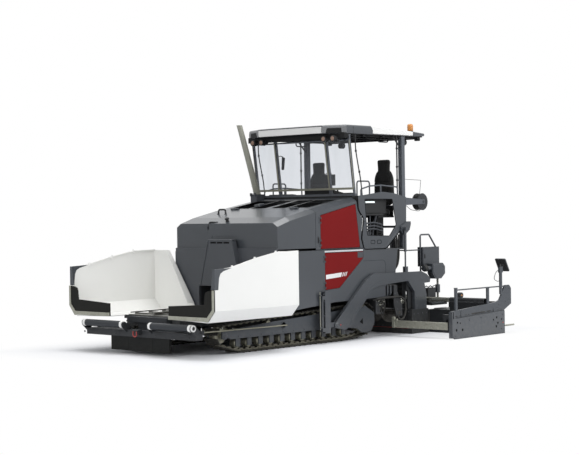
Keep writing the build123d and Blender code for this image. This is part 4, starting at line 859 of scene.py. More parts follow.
access_line = bent([(0.0, service_high[1] + 0.01, 1.362), (0.0, 1.4, 1.362), (0.0, 1.452, 1.3),
    (0.0, 1.452, 1.02)], 0.05)
access_seam = pipe(access_line + (body_x - 0.0012, 0, 0), 0.0028, 6)
front_seam = block((body_x - 0.001, panels_low[1] + 0.2, panels_low[2] + 0.14),
    (body_x + 0.0004, panels_low[1] + 0.203, 1.54), 0.0002)
ledge = block((body_x - 0.006, panels_low[1] + 0.004, panels_high[2] - 0.007),
    (body_x + 0.003, seam_y + 0.205, panels_high[2] + 0.001), 0.002)
fender_bolts = bolts([(body_x, y, float(np.interp(y, [-1.4, 0.07, 0.9], [0.615, 0.729, 0.736])))
    for y in np.arange(-1.3, 0.7, 0.24)], 0.007, 0.004)
make("side_panel_details", "tractor", "body_grey", (slate_coat, ledge, fender_bolts),
    (seam_and_shade_black, access_seam, front_seam), laid=both_sides)

keypad = plate(rounded(rect(0.668, 1.424, 0.812, 1.522), 0.006), "x", body_x - 0.001, body_x + 0.004, 0.001)
keys = copies(block((body_x + 0.004, -0.018, -0.013), (body_x + 0.006, 0.018, 0.013), 0.001),
    [(0.0, y, z) for y in (0.694, 0.74, 0.786) for z in (1.445, 1.473, 1.501)])
badge = plate([(-0.18, 1.085), (0.215, 1.112), (0.245, 1.188), (-0.18, 1.16)], "x", body_x - 0.001,
    body_x + 0.0008, 0.0002)
slashes = copies(plate([(0.24, 1.116), (0.262, 1.118), (0.296, 1.186), (0.274, 1.184)], "x", body_x - 0.001,
    body_x + 0.0008, 0.0002), [(0, 0, 0), (0, 0.045, 0.003), (0, 0.09, 0.006)])
for side, facing in sides:
    make("service_door_fittings_" + side, "service_door_" + side, "body_grey", (slate_coat, keypad),
        (dark_slate, keys), (badge_white, badge, slashes), laid=facing)


# ---------------------------------------------------------------- operator platform
# Bolted side walls with a framed window, a deck of raised-pattern plate, tube rails and a steel
# dashboard.  A dark rubber line seals each side wall against the body below and the hood ahead.
def patterned(material, scale, height, group):
    """Adds a group's raised pattern to a material's bump, after the coat's own normal."""
    tree, shader = shading(material)
    pattern = add_node(tree, "Group", {"Scale": scale}, node_tree=group)["Height"]
    bump = add_node(tree, "Bump",
        {"Distance": height, "Height": pattern, "Normal": source(shader, "Normal")})[0]
    fill(tree, shader, {"Normal": bump})


tread_group, given, put = new_group("tread_lozenges", [("Scale", 34.0)], [("Height", "Float")])
calc = partial(sums, tread_group)
place = add_node(tread_group, "SeparateXYZ", (object_place(tread_group),))
across, athwart = [calc("MULTIPLY", calc(sign, place["X"], place["Y"]), given["Scale"])
    for sign in ("ADD", "SUBTRACT")]
cell_number = calc("ADD", calc("FLOOR", across), calc("FLOOR", athwart))
cell_parity = calc("ABSOLUTE", calc("MODULO", cell_number, 2.0))
off_across, off_athwart = [calc("ABSOLUTE", calc("SUBTRACT", calc("FRACT", way), 0.5))
    for way in (across, athwart)]
lying, standing = [calc("ADD", calc("MULTIPLY", off_across, first), calc("MULTIPLY", off_athwart, second))
    for first, second in ((2.4, 9.0), (9.0, 2.4))]
chosen = calc("ADD", calc("MULTIPLY", lying, cell_parity),
    calc("MULTIPLY", standing, calc("SUBTRACT", 1.0, cell_parity)))
fill(tread_group, put, {"Height": calc("SUBTRACT", 1.15, chosen, clamp=True)})

deck_steel = coated("deck_steel", (70, 73, 77), roughness=0.5, dust=0.2, dust_height=2.5)
patterned(deck_steel, 20.0, 0.003, tread_group)
rail_coat = coated("rail_coat", (80, 84, 90), roughness=0.38, edge_tone=1.2, grain_depth=0.0002)
repaint(slate_coat, "platform_sides")
repaint(deck_steel, "platform_floor")
repaint(rail_coat, "platform_rails")
repaint(black_plastic, "dashboard")
seal_line = bent([(0.0, 0.704, 2.495), (0.0, 0.722, 2.256), (0.0, 0.866, 2.101), (0.0, 0.804, 1.753),
    (0.0, 0.87, 1.562), (0.0, 1.498, 1.562), (0.0, 1.724, 1.734), (0.0, 1.885, 1.859)], 0.05)
wall_seal = pipe(seal_line + (side_x + 0.001, 0, 0), 0.009, 8)
fold_line = pipe(bent([(0.0, 0.9, 1.598), (0.0, 1.48, 1.598), (0.0, 1.7, 1.765), (0.0, 1.885, 1.912)],
    0.06) + (side_x + 0.0005, 0, 0), 0.0025, 6)
# Each handle recess is drawn as a dark ring round its rim: painted shade.
handle_recess = [hoop(rounded(rect(y - 0.055, 1.655, y + 0.055, 1.715), 0.018), "x", side_x + 0.001, 0.004)
    for y in (1.115, 1.295)]
window_rim = rounded([(0.904, 2.441), (0.964, 1.808), (1.59, 1.783), (1.79, 1.983), (1.683, 2.439)], 0.02)
window_seal = hoop(window_rim, "x", side_x - 0.002, 0.006)
wall_bolts = bolts([(side_x, y, z) for y, z in ((0.87, 1.7), (1.55, 1.68), (0.9, 2.05), (1.77, 1.88),
    (1.8, 2.4), (0.82, 2.42))], 0.009, 0.006)
make("platform_wall_details", "tractor", "body_grey", (slate_coat, wall_bolts, fold_line),
    (seam_and_shade_black, wall_seal, *handle_recess, window_seal), laid=both_sides)

strip_light = coated("strip_light", (236, 244, 244), roughness=0.35, edge_tone=1.0, dust=0.0)
fill(*shading(strip_light), {"Emission Color": (0.9, 1.0, 1.0, 1.0), "Emission Strength": 0.5})
lamp_tube = plate(rounded(rect(0.985, 2.372, 1.235, 2.402), 0.012), "x", 1.118, 1.15, 0.006)
lamp_back = block((1.098, 0.965, 2.365), (1.118, 1.255, 2.415), 0.004)
make("service_lamp", "tractor", "glass", (strip_light, lamp_tube), (black_plastic, lamp_back),
    laid=both_sides)

dash_low, dash_high = corners("dashboard")
cowl = plate(rounded([(dash_low[1] + 0.02, dash_high[2] - 0.002), (dash_high[1] - 0.01, dash_high[2] - 0.002),
    (dash_high[1] - 0.03, dash_high[2] + 0.05), (dash_low[1] + 0.09, dash_high[2] + 0.06)], 0.02), "x",
    0.42, 0.98, 0.006)
gauges = [turned([(0.0, 0.03), (0.006, 0.03), (0.008, 0.026), (0.006, 0.024), (0.005, 0.004)], 20,
    (x, dash_high[1] - 0.002, dash_high[2] - 0.12), (0, 1, 0)) for x in (0.52, 0.62, 0.78, 0.88)]
deck_lines = copies(block((-1.05, -0.004, 0.0), (1.05, 0.004, 0.004), 0.001),
    [(0, y, dash_high[2]) for y in (dash_low[1] + 0.1, dash_low[1] + 0.16)])
under_pipes = joined(*[pipe(bent([(1.07, 1.02, z), (1.09, 1.3, z + 0.02), (1.06, 1.56, z - 0.03)], 0.1),
    0.014) for z in (1.9, 1.955, 2.01)])
tank = block((0.86, 0.962, 1.565), (1.06, 1.2, 1.88), 0.02)
pedal_post = pipe(bent([(0.95, 1.35, 1.565), (0.97, 1.4, 1.95), (1.05, 1.42, 2.25)], 0.12), 0.022)
shelf = joined(block((0.8, 0.952, 2.15), (1.12, 1.5, 2.185), 0.008),
    block((0.96, 0.968, 2.18), (1.085, 1.64, 2.44), 0.012))
make("platform_equipment", "tractor", "console_plastic", (black_plastic, cowl, *gauges, deck_lines, shelf),
    (dark_slate, under_pipes, tank, pedal_post), laid=both_sides)


# ---------------------------------------------------------------- operator console
# Sliding desk of moulded plastic with two rows of switches, two round knobs and a flat display on
# a stalk, held by ball joints.  The screen is dark glass in a raised bezel.
repaint(black_plastic, "operator_console")
desk_low, desk_high = corners("operator_console")
screen_glass = coated("screen_glass", (20, 24, 28), roughness=0.12, edge_tone=1.0, dust=0.0, drift=0.1)
key_grey = coated("key_grey", (112, 114, 116), roughness=0.5, edge_tone=1.1)
desk_slope = -0.06 / 0.32


def desk_spot(x, back):
    """Point on the desk's sloping top, at a distance back from its front edge."""
    return x, desk_low[1] + back, desk_high[2] - 0.28 + desk_slope * back


key = block((-0.013, -0.01, -0.002), (0.013, 0.01, 0.009), 0.002)
key_spots = [desk_spot(x, back) for x in np.arange(-0.3, 0.0, 0.045) for back in (0.07, 0.12, 0.17, 0.22)]
knobs = copies(turned([(-0.002, 0.022), (0.006, 0.022), (0.01, 0.016), (0.034, 0.015), (0.038, 0.01)], 16,
    direction=(0, 0, 1)), [desk_spot(x, 0.2) for x in (0.1, 0.27)])
bezel_low, bezel_high = desk_low[0] + 0.37, desk_high[0] - 0.05
screen_y, screen_top = desk_low[1] + 0.11, desk_high[2]
bezel = joined(*[block((bezel_low, screen_y - 0.048, screen_top + low), (bezel_high, screen_y - 0.04,
    screen_top + high), 0.004) for low, high in ((-0.2, -0.185), (-0.015, 0.0))])
display = plate(rounded(rect(bezel_low + 0.015, screen_top - 0.185, bezel_high - 0.015, screen_top - 0.015),
    0.01), "y", screen_y - 0.0005, screen_y + 0.0015, 0.0005)
display_grip = pipe(bent([(x, screen_y - 0.02, screen_top + rise) for x, rise in ((bezel_low + 0.08, -0.002),
    (bezel_low + 0.08, 0.026), (bezel_high - 0.08, 0.026), (bezel_high - 0.08, -0.002))], 0.012), 0.006)
make("console_fittings", "console", "console_plastic", (black_plastic, knobs, display_grip, bezel),
    (key_grey, copies(key, key_spots)), (screen_glass, display))


# ---------------------------------------------------------------- operator seats
# Foam cushions in dark woven cloth on steel pans, with a headrest over a tapered back.  The foam is
# filled out by a pressure cloth simulation, then seams are drawn in across it.
def pillow(outline, axis, low, high, rounding, steps=4):
    """Solid with well rounded face edges: insets and depths follow a quarter circle on both faces."""
    angle = np.linspace(0.0, np.pi / 2.0, steps + 1)
    insets, depths = rounding * (1.0 - np.sin(angle)), rounding * (1.0 - np.cos(angle))
    outlines = [shrunk(outline, inset) for inset in (*insets, *insets[::-1])]
    return stacked(outlines, axis, [*(low + depths), *(high - depths[::-1])])


cloth_steps = 20


def inflated(shape, voxel, pressure, cap):
    """The shape remeshed evenly and filled by air pressure as cloth, no point moving further than a cap."""
    filling = bpy.data.objects.new("filling", mesh_of("filling", shape))
    bpy.context.scene.collection.objects.link(filling)
    remesh = filling.modifiers.new("even", "REMESH")
    remesh.mode = "VOXEL"
    remesh.voxel_size = voxel
    even = bpy.data.meshes.new_from_object(filling.evaluated_get(bpy.context.evaluated_depsgraph_get()))
    filling.modifiers.clear()
    filling.data = even
    start = np.empty(len(even.vertices) * 3)
    even.vertices.foreach_get("co", start)
    cloth = filling.modifiers.new("cloth", "CLOTH")
    cloth.settings.use_pressure = True
    cloth.settings.uniform_pressure_force = pressure
    cloth.settings.effector_weights.gravity = 0.0
    for step in range(1, cloth_steps + 1):
        bpy.context.scene.frame_set(step)
    swollen = bpy.data.meshes.new_from_object(filling.evaluated_get(bpy.context.evaluated_depsgraph_get()))
    end = np.empty_like(start)
    swollen.vertices.foreach_get("co", end)
    bpy.context.scene.frame_set(1)
    start, end = start.reshape(-1, 3), end.reshape(-1, 3)
    move = end - start
    size = np.maximum(np.linalg.norm(move, axis=1, keepdims=True), 1e-9)
    ring, counts = np.empty(len(even.loops), np.int32), np.empty(len(even.polygons), np.int32)
    even.loops.foreach_get("vertex_index", ring)
    even.polygons.foreach_get("loop_total", counts)
    bpy.data.objects.remove(filling)
    return outward((start + move * np.minimum(1.0, cap / size), ring, counts))


def stitched(shape, axis, lines, depth, width, surface, pull):
    """Shape with seams drawn in: near each (axis, place) line, points on one face sink by a bell curve of
    their distance."""
    points, ring, counts = shape
    sunk = points.copy()
    sink = sum(np.exp(-((points[:, line_axis] - place) / width) ** 2) for line_axis, place in lines)
    facing = np.clip((points[:, axis] - surface) * np.sign(pull) / -0.01, 0.0, 1.0)
    sunk[:, axis] += np.sign(pull) * depth * np.minimum(sink, 1.0) * facing
    return sunk, ring, counts


weave_group, given, put = new_group("cloth_weave", [("Scale", 420.0)], [("Height", "Float")])
calc = partial(sums, weave_group)
place = add_node(weave_group, "SeparateXYZ", (object_place(weave_group),))
warp, weft = [calc("SINE", calc("MULTIPLY", way, given["Scale"]))
    for way in (place["X"], calc("ADD", place["Y"], place["Z"]))]
fill(weave_group, put, {"Height": calc("MULTIPLY_ADD", calc("MULTIPLY", warp, weft), 0.5, 0.5)})

seat_cloth = coated("seat_cloth", (34, 34, 33), roughness=0.85, shine=0.2, edge_tone=1.0, dust=0.0,
    drift=0.12, grain_scale=900.0)
patterned(seat_cloth, 900.0, 0.0006, weave_group)
fill(*shading(seat_cloth), {"Sheen Weight": 0.25})
cushion_low, cushion_high = corners("seat_cushions")
back_low, back_high = corners("seat_backs")
seat_x = cushion_high[0] - 0.25
pad_outline = rounded([(seat_x - 0.232, cushion_low[1] + 0.018), (seat_x + 0.232, cushion_low[1] + 0.018),
    (seat_x + 0.225, cushion_high[1] - 0.018), (seat_x - 0.225, cushion_high[1] - 0.018)], 0.09, 6)
foam_voxel, foam_pressure, seam_depth, seam_width = 0.009, 4.0, 0.01, 0.007
seat_pad = inflated(pillow(pad_outline, "z", cushion_low[2] + 0.006, cushion_high[2] - 0.022, 0.045),
    foam_voxel, foam_pressure, 0.016)
seat_pad = stitched(seat_pad, 2, [(0, seat_x - 0.155), (0, seat_x + 0.155), (1, cushion_low[1] + 0.16)],
    seam_depth, seam_width, cushion_low[2] + 0.07, -1.0)
back_outline = rounded([(seat_x + x, back_low[2] + z) for x, z in ((-0.175, 0.015), (0.175, 0.015),
    (0.232, 0.2), (0.222, 0.54), (0.15, 0.68), (-0.15, 0.68), (-0.222, 0.54), (-0.232, 0.2))], 0.07, 5)
head_outline = rounded([(seat_x + x, back_high[2] + z)
    for x, z in ((-0.14, -0.3), (0.14, -0.3), (0.138, -0.016), (-0.138, -0.016))], 0.05, 5)
back_pad = inflated(joined(pillow(back_outline, "y", back_low[1] + 0.016, back_high[1] - 0.014, 0.034),
    pillow(head_outline, "y", back_low[1] + 0.018, back_high[1] - 0.018, 0.03)), foam_voxel,
    foam_pressure, 0.014)
back_pad = stitched(back_pad, 1, [(0, seat_x - 0.14), (0, seat_x + 0.14), (2, back_low[2] + 0.21),
    (2, back_low[2] + 0.45)], seam_depth, seam_width, back_low[1] + 0.05, 1.0)
head_pins = copies(turned([(0.0, 0.007), (0.1, 0.007)], 10, direction=(0, 0, 1)),
    [(seat_x + x, (back_low[1] + back_high[1]) / 2.0, back_high[2] - 0.25) for x in (-0.05, 0.05)])
seat_shell = coated("seat_shell", (32, 33, 34), roughness=0.55, grain_scale=300.0, grain_depth=0.0005)
repaint(seat_shell, "seat_bases")
seat_pads = make("seat_cushion_pads", "tractor", "seat_fabric", (seat_cloth, seat_pad), laid=both_sides)
back_pads = make("seat_back_pads", "tractor", "seat_fabric", (seat_cloth, back_pad), laid=both_sides)
for pads, node in ((seat_pads, "seat_cushions"), (back_pads, "seat_backs")):
    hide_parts(node)
    finer = pads.modifiers.new("finer", "SUBSURF")
    finer.levels = finer.render_levels = 1
base_low = corners("seat_bases")[0]
bellows = [(0.02 + 0.05 * k + d, 0.118 - 0.018 * (d > 0)) for k in range(9) for d in (0.0, 0.025)]
sleeves = turned(bellows, 24, (seat_x, base_low[1] + 0.22, base_low[2]), (0, 0, 1))
arm_spots = [(seat_x - 0.275, 0, 0), (seat_x + 0.225, 0, 0)]
arm_rests = copies(pillow([(1.62, 2.455), (1.95, 2.475), (1.95, 2.51), (1.62, 2.5)], "x", -0.028, 0.028,
    0.014), arm_spots)
arm_posts = copies(pipe(bent([(0.0, 1.93, 2.29), (0.0, 1.95, 2.42), (0.0, 1.86, 2.475)], 0.05),
    0.012), arm_spots)
make("seat_fittings", "tractor", "console_plastic", (seat_shell, sleeves, arm_posts, arm_rests),
    (strip_steel, head_pins), laid=both_sides)


# ---------------------------------------------------------------- canopy
# Moulded roof on four posts: white panels front and sides, a pale ribbed top, slate corner caps
# with lamp recesses, a grey tail, and a dark underside stiffened by a frame of tubes.
repaint(rail_coat, "canopy_posts")
roof_low, roof_high = corners("canopy")
roof_half, roof_front, under = roof_high[0], roof_low[1], roof_low[2]
roof_ys = np.array([roof_low[1], 1.14, 2.367, roof_high[1]])
roof_zs = roof_high[2] - np.array([0.005, 0.0, 0.064, 0.09])
eave_z = roof_low[2] + 0.02


def roof_z(y):
    """Height of the roof's top at a y."""
    return np.interp(y, roof_ys, roof_zs)


nose_plan = [(-0.745, roof_front + 0.012), (-0.4, roof_front + 0.003), (0.4, roof_front + 0.003),
    (0.745, roof_front + 0.012), (0.745, 0.475), (-0.745, 0.475)]
nose_z = roof_z(0.3)
nose = stacked([shrunk(nose_plan, inset) for inset in (0.006, 0.0, 0.0, 0.01)], "z",
    [eave_z + 0.004, eave_z + 0.01, nose_z - 0.03, nose_z - 0.022])
nose_rim = stacked([shrunk(nose_plan, inset) for inset in (0.004, 0.0, 0.004, 0.016, 0.034)], "z",
    nose_z - np.array([0.024, 0.018, 0.008, 0.002, 0.0]))
side_panel = plate([(1.15, eave_z + 0.122), (1.2, eave_z + 0.004), (2.362, eave_z + 0.004),
    (2.362, roof_z(2.362) - 0.004), (1.16, roof_z(1.16) - 0.008)], "x", roof_half - 0.06,
    roof_half - 0.003, 0.01)
top_sheet = plate([(0.46, eave_z + 0.03), (2.4, eave_z + 0.03), (2.4, roof_z(2.4) - 0.012),
    (1.14, roof_z(1.14) - 0.01), (0.46, roof_z(0.46) - 0.01)], "x", -roof_half + 0.03,
    roof_half - 0.03, 0.012)
top_ribs = copies(plate([(y, roof_z(y) - drop) for y, drop in ((0.6, 0.012), (1.14, 0.012),
    (2.3, 0.014), (2.3, 0.003), (1.14, 0.001), (0.6, 0.002))], "x", -0.03, 0.03, 0.004),
    [(x, 0, 0) for x in (-0.66, -0.33, 0.0, 0.33, 0.66)])
tail = plate(rounded([(2.364, eave_z - 0.004), (roof_high[1] - 0.002, eave_z + 0.006),
    (roof_high[1] - 0.002, roof_high[2] - 0.092), (2.364, roof_z(2.364) - 0.002)], 0.018), "x",
    -roof_half + 0.003, roof_half - 0.003, 0.014)
cap_plan = [(0.752, roof_front + 0.012), (roof_half - 0.002, 0.4655), (roof_half - 0.002, 1.185),
    (0.752, 1.185)]
cap = stacked([shrunk(cap_plan, inset) for inset in (0.01, 0.002, 0.0, 0.004, 0.02, 0.05)], "z",
    [eave_z - 0.006, eave_z + 0.004, eave_z + 0.06, roof_high[2] - 0.03, roof_high[2] - 0.009,
    roof_high[2] - 0.003])
cap_seam = block((roof_half - 0.004, 0.64, eave_z + 0.006),
    (roof_half - 0.001, 0.646, roof_high[2] - 0.03), 0.0005)
chamfer = np.array([roof_half - 0.752, 0.4655 - roof_front - 0.012, 0.0])
chamfer_length = np.linalg.norm(chamfer)
chamfer /= chamfer_length
out_of_chamfer = np.array([chamfer[1], -chamfer[0], 0.0])


def on_chamfer(shape):
    """A shape drawn along x, facing -y, laid on the cap's chamfered front face."""
    points, ring, counts = shape
    start = np.array([0.752, roof_front + 0.012, 0.0])
    upright = points[:, 2:] * (0.0, 0.0, 1.0)
    placed = start + points[:, :1] * chamfer - points[:, 1:2] * out_of_chamfer + upright
    return outward((placed, ring, counts))


# Each cap's lamp recess is a flat near-black plate: painted shade.
recess = on_chamfer(plate(rounded([(0.07, eave_z - 0.001), (0.36, eave_z - 0.001), (0.36, eave_z + 0.088),
    (0.1, eave_z + 0.088)], 0.018), "y", -0.003, 0.002, 0.001))
roof_parts = [block((-roof_half + 0.02, 0.5, under + 0.002), (roof_half - 0.02, 2.66, eave_z + 0.008), 0.006)]
roof_parts += [block((-roof_half + 0.03, y, under - 0.034), (roof_half - 0.03, y + 0.045, under + 0.004),
    0.006) for y in (0.95, 1.5, 1.96, 2.52)]
roof_parts += [block((x - 0.022, 0.52, under - 0.026), (x + 0.022, 2.56, under + 0.004), 0.005)
    for x in (-1.05, -0.6, 0.6, 1.05)]
blind = pillow([(0.42, under - 0.072), (0.53, under - 0.072), (0.535, under + 0.022), (0.42, under + 0.03)],
    "x", -1.148, 1.148, 0.012)
nose_floor = block((-0.74, roof_front + 0.02, eave_z - 0.006), (0.74, 0.52, eave_z + 0.004), 0.003)
stays = [pipe([(s * 0.6, 0.62, under - 0.05), (s * 0.98, 0.95, under - 0.02)], 0.014) for s in (-1, 1)]
grab = [pipe(bent([(x, y, under - drop) for y, drop in ((1.55, 0.01), (1.56, 0.1), (1.84, 0.1),
    (1.85, 0.01))], 0.05), 0.011) for x in (-0.98, 0.98)]
rear_lights = [block((x - 0.05, 2.585, under - 0.06), (x + 0.05, 2.645, under + 0.002), 0.008)
    for x in (-1.06, 1.06)]
roof_top_grey = coated("roof_top_grey", (192, 193, 192), roughness=0.5, edge_tone=1.0, dust=0.0)
roof_white = coated("roof_white", (230, 230, 228), roughness=0.38, edge_tone=1.0, dust=0.0, drift=0.015,
    grain_depth=0.0002)
roof_dark = coated("roof_dark", (20, 21, 22), roughness=0.6, edge_tone=1.3, shine=0.2)
roof = make("canopy_roof", "tractor", "hopper_white", (roof_white, nose, both_sides(side_panel)),
    (roof_top_grey, top_sheet, top_ribs), (slate_coat, tail, nose_rim, both_sides(cap)), (roof_dark,
    *roof_parts, blind, nose_floor, *stays, *grab, *rear_lights, both_sides(recess), both_sides(cap_seam)))
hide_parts("canopy")


# ---------------------------------------------------------------- windscreen and posts
# One pane of lightly tinted safety glass clamped in front of the leaning posts by a pale trim bar
# under it and a strip up each post.  Thin rods and a wiring tube run down beside it.
tinted_glass = bpy.data.materials.new("tinted_glass")
tinted_glass.use_nodes = True
tree, shader = shading(tinted_glass)
smears = spread(tree, speckle(tree, stretched(tree, (1.0, 1.0, 0.3)), 2.5, 4.0), 0.35, 0.7)
fill(tree, shader, {"Base Color": tinted(tree, smears, rgb(226, 229, 234), rgb(216, 220, 225)),
    "Roughness": sums(tree, "MULTIPLY_ADD", smears, 0.02, 0.01), "Transmission Weight": 1.0,
    "Specular IOR Level": 0.25})
repaint(tinted_glass, "windscreen")
screen_low, screen_high = corners("windscreen")
screen_lean = (screen_low[1] - screen_high[1] + 0.0075) / (screen_high[2] - screen_low[2])


def screen_line(z):
    """y of the windscreen's front face at a height."""
    return screen_high[1] - 0.0075 + screen_lean * (z - screen_low[2])


def leaning_bar(ahead, behind, foot, head, half, edge):
    """Bar along the screen, between two offsets from its face.  Foot and head are each a height on the
    face and the bar's own end height."""
    outline = [(screen_line(face_z) + offset, z)
        for face_z, z, offset in ((*foot, ahead), (*foot, behind), (*head, behind), (*head, ahead))]
    return plate(outline, "x", -half, half, edge)


trim_olive = coated("trim_olive", (133, 132, 119), roughness=0.45, edge_tone=1.3)
sill_z = screen_low[2]
strip_ends = (sill_z, sill_z + 0.024), (screen_high[2], screen_high[2] - 0.01)
sill = leaning_bar(-0.01, -0.001, (sill_z, sill_z - 0.012), (sill_z + 0.026, sill_z + 0.026), 1.148, 0.002)
strips = copies(leaning_bar(-0.007, -0.001, *strip_ends, 0.014, 0.001), [(-0.6, 0, 0), (0.6, 0, 0)])
edge_trim = copies(leaning_bar(-0.003, 0.012, *strip_ends, 0.003, 0.001), [(-1.151, 0, 0), (1.151, 0, 0)])
rear_rod = pipe([(1.15, 1.88, under - 0.002), (1.15, 1.88, 2.64)], 0.013)
clips = copies(turned([(-0.014, 0.021), (0.014, 0.021)], 12, direction=(0, 0, 1)),
    [(1.15, 1.88, z) for z in (3.35, 3.02, 2.78)])
wiring = pipe(bent([(1.152, 0.7, under - 0.002), (1.156, 0.705, 3.3), (1.156, 0.765, 3.05),
    (1.156, 0.83, 2.8), (1.158, 0.855, 2.62), (1.16, 0.87, 2.46)], 0.12), 0.011)
wiring_clips = copies(turned([(-0.018, 0.018), (0.018, 0.018)], 12, direction=(0, 0, 1)),
    [(1.156, 0.712, 3.28), (1.156, 0.8, 2.92)])
mirror_arm = pipe(bent([(-0.585, 0.62, 3.235), (-0.56, 0.66, 3.255), (-0.545, 0.7, 3.235)], 0.02), 0.007)
mirror_plate = plate(rounded([(-0.575, 3.0), (-0.515, 3.0), (-0.49, 3.22), (-0.56, 3.24)], 0.02), "y",
    0.685, 0.705, 0.005)
corner_strut = pipe([(1.13, 1.99, 3.38), (1.13, 1.8, under - 0.01)], 0.014)
make("screen_trim", "tractor", "stack_grey", (trim_olive, sill, strips, edge_trim))
make("canopy_rods", "tractor", "lamp_black", (black_plastic,
    both_sides(rear_rod, clips, wiring, wiring_clips, corner_strut), mirror_arm, mirror_plate))


# ---------------------------------------------------------------- beacon and work lights
# Ribbed dome of amber plastic on a dark socket, standing on the canopy.  Round work lamps with a
# bezel and a clear lens are bolted under its front and its rear edge.
repaint(black_plastic, "work_lights")
beacon_low, beacon_high = corners("beacon")
beacon_middle = (beacon_low + beacon_high) / 2.0
amber = coated("amber", (216, 146, 74), roughness=0.3, edge_tone=1.2, dust=0.0, drift=0.05,
    grain_depth=0.0001)
fill(*shading(amber), {"Transmission Weight": 0.15})
beacon_radius = (beacon_high[0] - beacon_low[0]) / 2.0
dome = [(0.022, 0.05), (0.026, 0.053)]
for k in range(6):
    dome += [(0.03 + 0.014 * k, 0.0545), (0.037 + 0.014 * k, 0.0515)]
dome += [(0.118, 0.053), (0.134, 0.048), (0.144, 0.034), (0.148, 0.012)]
socket_profile = [(0.0, 0.052), (0.004, beacon_radius), (0.018, beacon_radius), (0.024, 0.05)]
dome_shape, socket = [turned(profile, 40, (*beacon_middle[:2], beacon_low[2]), (0, 0, 1))
    for profile in (dome, socket_profile)]
beacon = make("beacon_dome", "tractor", "beacon_amber", (amber, dome_shape), (black_plastic, socket))
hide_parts("beacon")
lights_low = corners("work_lights")[0]
clear_lens = coated("clear_lens", (148, 120, 104), roughness=0.12, edge_tone=1.0, dust=0.0, drift=0.1)
lamp_z, lamp_front_y, lamp_rear_y = lights_low[2] + 0.055, lights_low[1], lights_low[1] + 2.32
bezels, lenses = [], []
for way, y, xs in ((-1, lamp_front_y, (-0.95, -0.74, 0.74, 0.95)), (1, lamp_rear_y, (-0.74, 0.74))):
    spots = np.array([(x, y, lamp_z) for x in xs])
    bezels.append(copies(turned([(0.0, 0.046), (0.001, 0.053), (0.006, 0.0545), (0.01, 0.05), (0.006, 0.044)],
        28, direction=(0, way, 0)), spots - (0, 0.004 * way, 0)))
    lenses.append(copies(turned([(-0.002, 0.043), (0.004, 0.036), (0.007, 0.015)], 28, direction=(0, way, 0)),
        spots))
make("lamp_lenses", "tractor", "glass", (black_plastic, *bezels), (clear_lens, *lenses))


# ---------------------------------------------------------------- exhaust
# Oval steel stack in heat-proof grey on a boxed elbow, folded forward about a pin at its foot.  The
# mouth is a rolled rim round a sooty bore.
stack_grey = coated("stack_grey", (151, 151, 140), roughness=0.42, edge_tone=1.25, metallic=0.2,
    dust=0.0, drift=0.1)
soot = coated("soot", (18, 18, 18), roughness=0.9, edge_tone=1.0)
repaint(dark_slate, "exhaust_base")
stack_low, stack_high = corners("exhaust_stack")
mouth = np.array([(stack_low[0] + stack_high[0]) / 2.0, stack_low[1] + 0.065, stack_high[2]])
foot = np.array([mouth[0], stack_low[1] + 0.51, stack_low[2] + 0.014])
angle = np.linspace(0.0, 2.0 * np.pi, 40, endpoint=False)
circle = np.column_stack([np.cos(angle), np.sin(angle)])
oval = circle * (0.046, 0.05) + mouth[:2]
rim = hoop(oval, "z", mouth[2] - 0.006, 0.006, lap=2)
bore = plate(oval, "z", mouth[2] - 0.002, mouth[2] + 0.0005, 0.0002)
bands = []
for share in (0.02, 0.1):
    centre = foot + (mouth - foot) * share
    bands.append(hoop(circle * (0.06, 0.084 - 0.025 * share) + centre[:2], "z", centre[2] + 0.02,
        0.006, lap=2))
base_high = corners("exhaust_base")[1]
clamp_bolts = bolts([(base_high[0], y, z) for y in (0.42, 0.56) for z in (2.47, 2.54)], 0.008, 0.006)
levels = np.array([-0.03, 0.0, 0.25, 0.5, 0.75, 0.98, 1.0])
widths = np.interp(levels, [0.0, 1.0], [0.054, 0.048])
depths = np.interp(levels, [0.0, 0.3, 1.0], [0.078, 0.062, 0.052])
centres = foot + (mouth - (0, 0, 0.002) - foot) * levels[:, None]
rings = circle * np.column_stack([widths, depths])[:, None] + centres[:, None, :2]
tube = skin(np.concatenate([rings, np.broadcast_to(centres[:, None, 2:], (len(levels), len(angle), 1))],
    axis=2))
stack = make("exhaust_tube", "exhaust", "stack_grey", (stack_grey, tube, rim, *bands), (soot, bore))
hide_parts("exhaust_stack")
make("exhaust_bolts", "tractor", "stack_grey", (dark_slate, clamp_bolts))


# ---------------------------------------------------------------- hose reel
# Spray hose drum on a bracket behind the canopy, its flanges pressed with a hub and ribs.  A wire
# guard stands round it and the hose's end hangs from a guide rod.
repaint(dark_coat, "hose_reel")
reel_low, reel_high = corners("hose_reel")
reel_middle = (reel_low + reel_high) / 2.0
reel_face = (reel_high[0], *reel_middle[1:])
hub = turned([(0.0, 0.06), (0.01, 0.055), (0.014, 0.03), (0.02, 0.026), (0.022, 0.008)], 28, reel_face)
reel_rim = turned([(-0.012, 0.1555), (-0.009, 0.157), (-0.003, 0.157), (0.001, 0.1545)], 48, reel_face)
spokes = joined(*[pipe([(reel_high[0] + 0.001, reel_middle[1] + r * math.cos(a),
    reel_middle[2] + r * math.sin(a)) for r in (0.05, 0.14)], 0.004, 8)
    for a in np.arange(6) * math.pi / 3.0])
hose_rings = joined(*[turned([(-0.009, 0.14), (-0.004, 0.15), (0.004, 0.15), (0.009, 0.14)], 40,
    (x, *reel_middle[1:])) for x in np.arange(reel_low[0] + 0.022, reel_high[0] - 0.018, 0.0185)])
hose_rubber = coated("hose_rubber", (34, 34, 33), roughness=0.6, edge_tone=1.1, grain_scale=300.0)
make("reel_details", "reel", "body_grey", (dark_coat, hub, reel_rim, spokes), (hose_rubber, hose_rings))
wire = pipe(bent([(1.125, 2.1, 2.8), (1.125, 2.62, 2.785), (1.125, 2.6, 2.64), (1.125, 2.56, 2.445)],
    0.01), 0.004, 8)
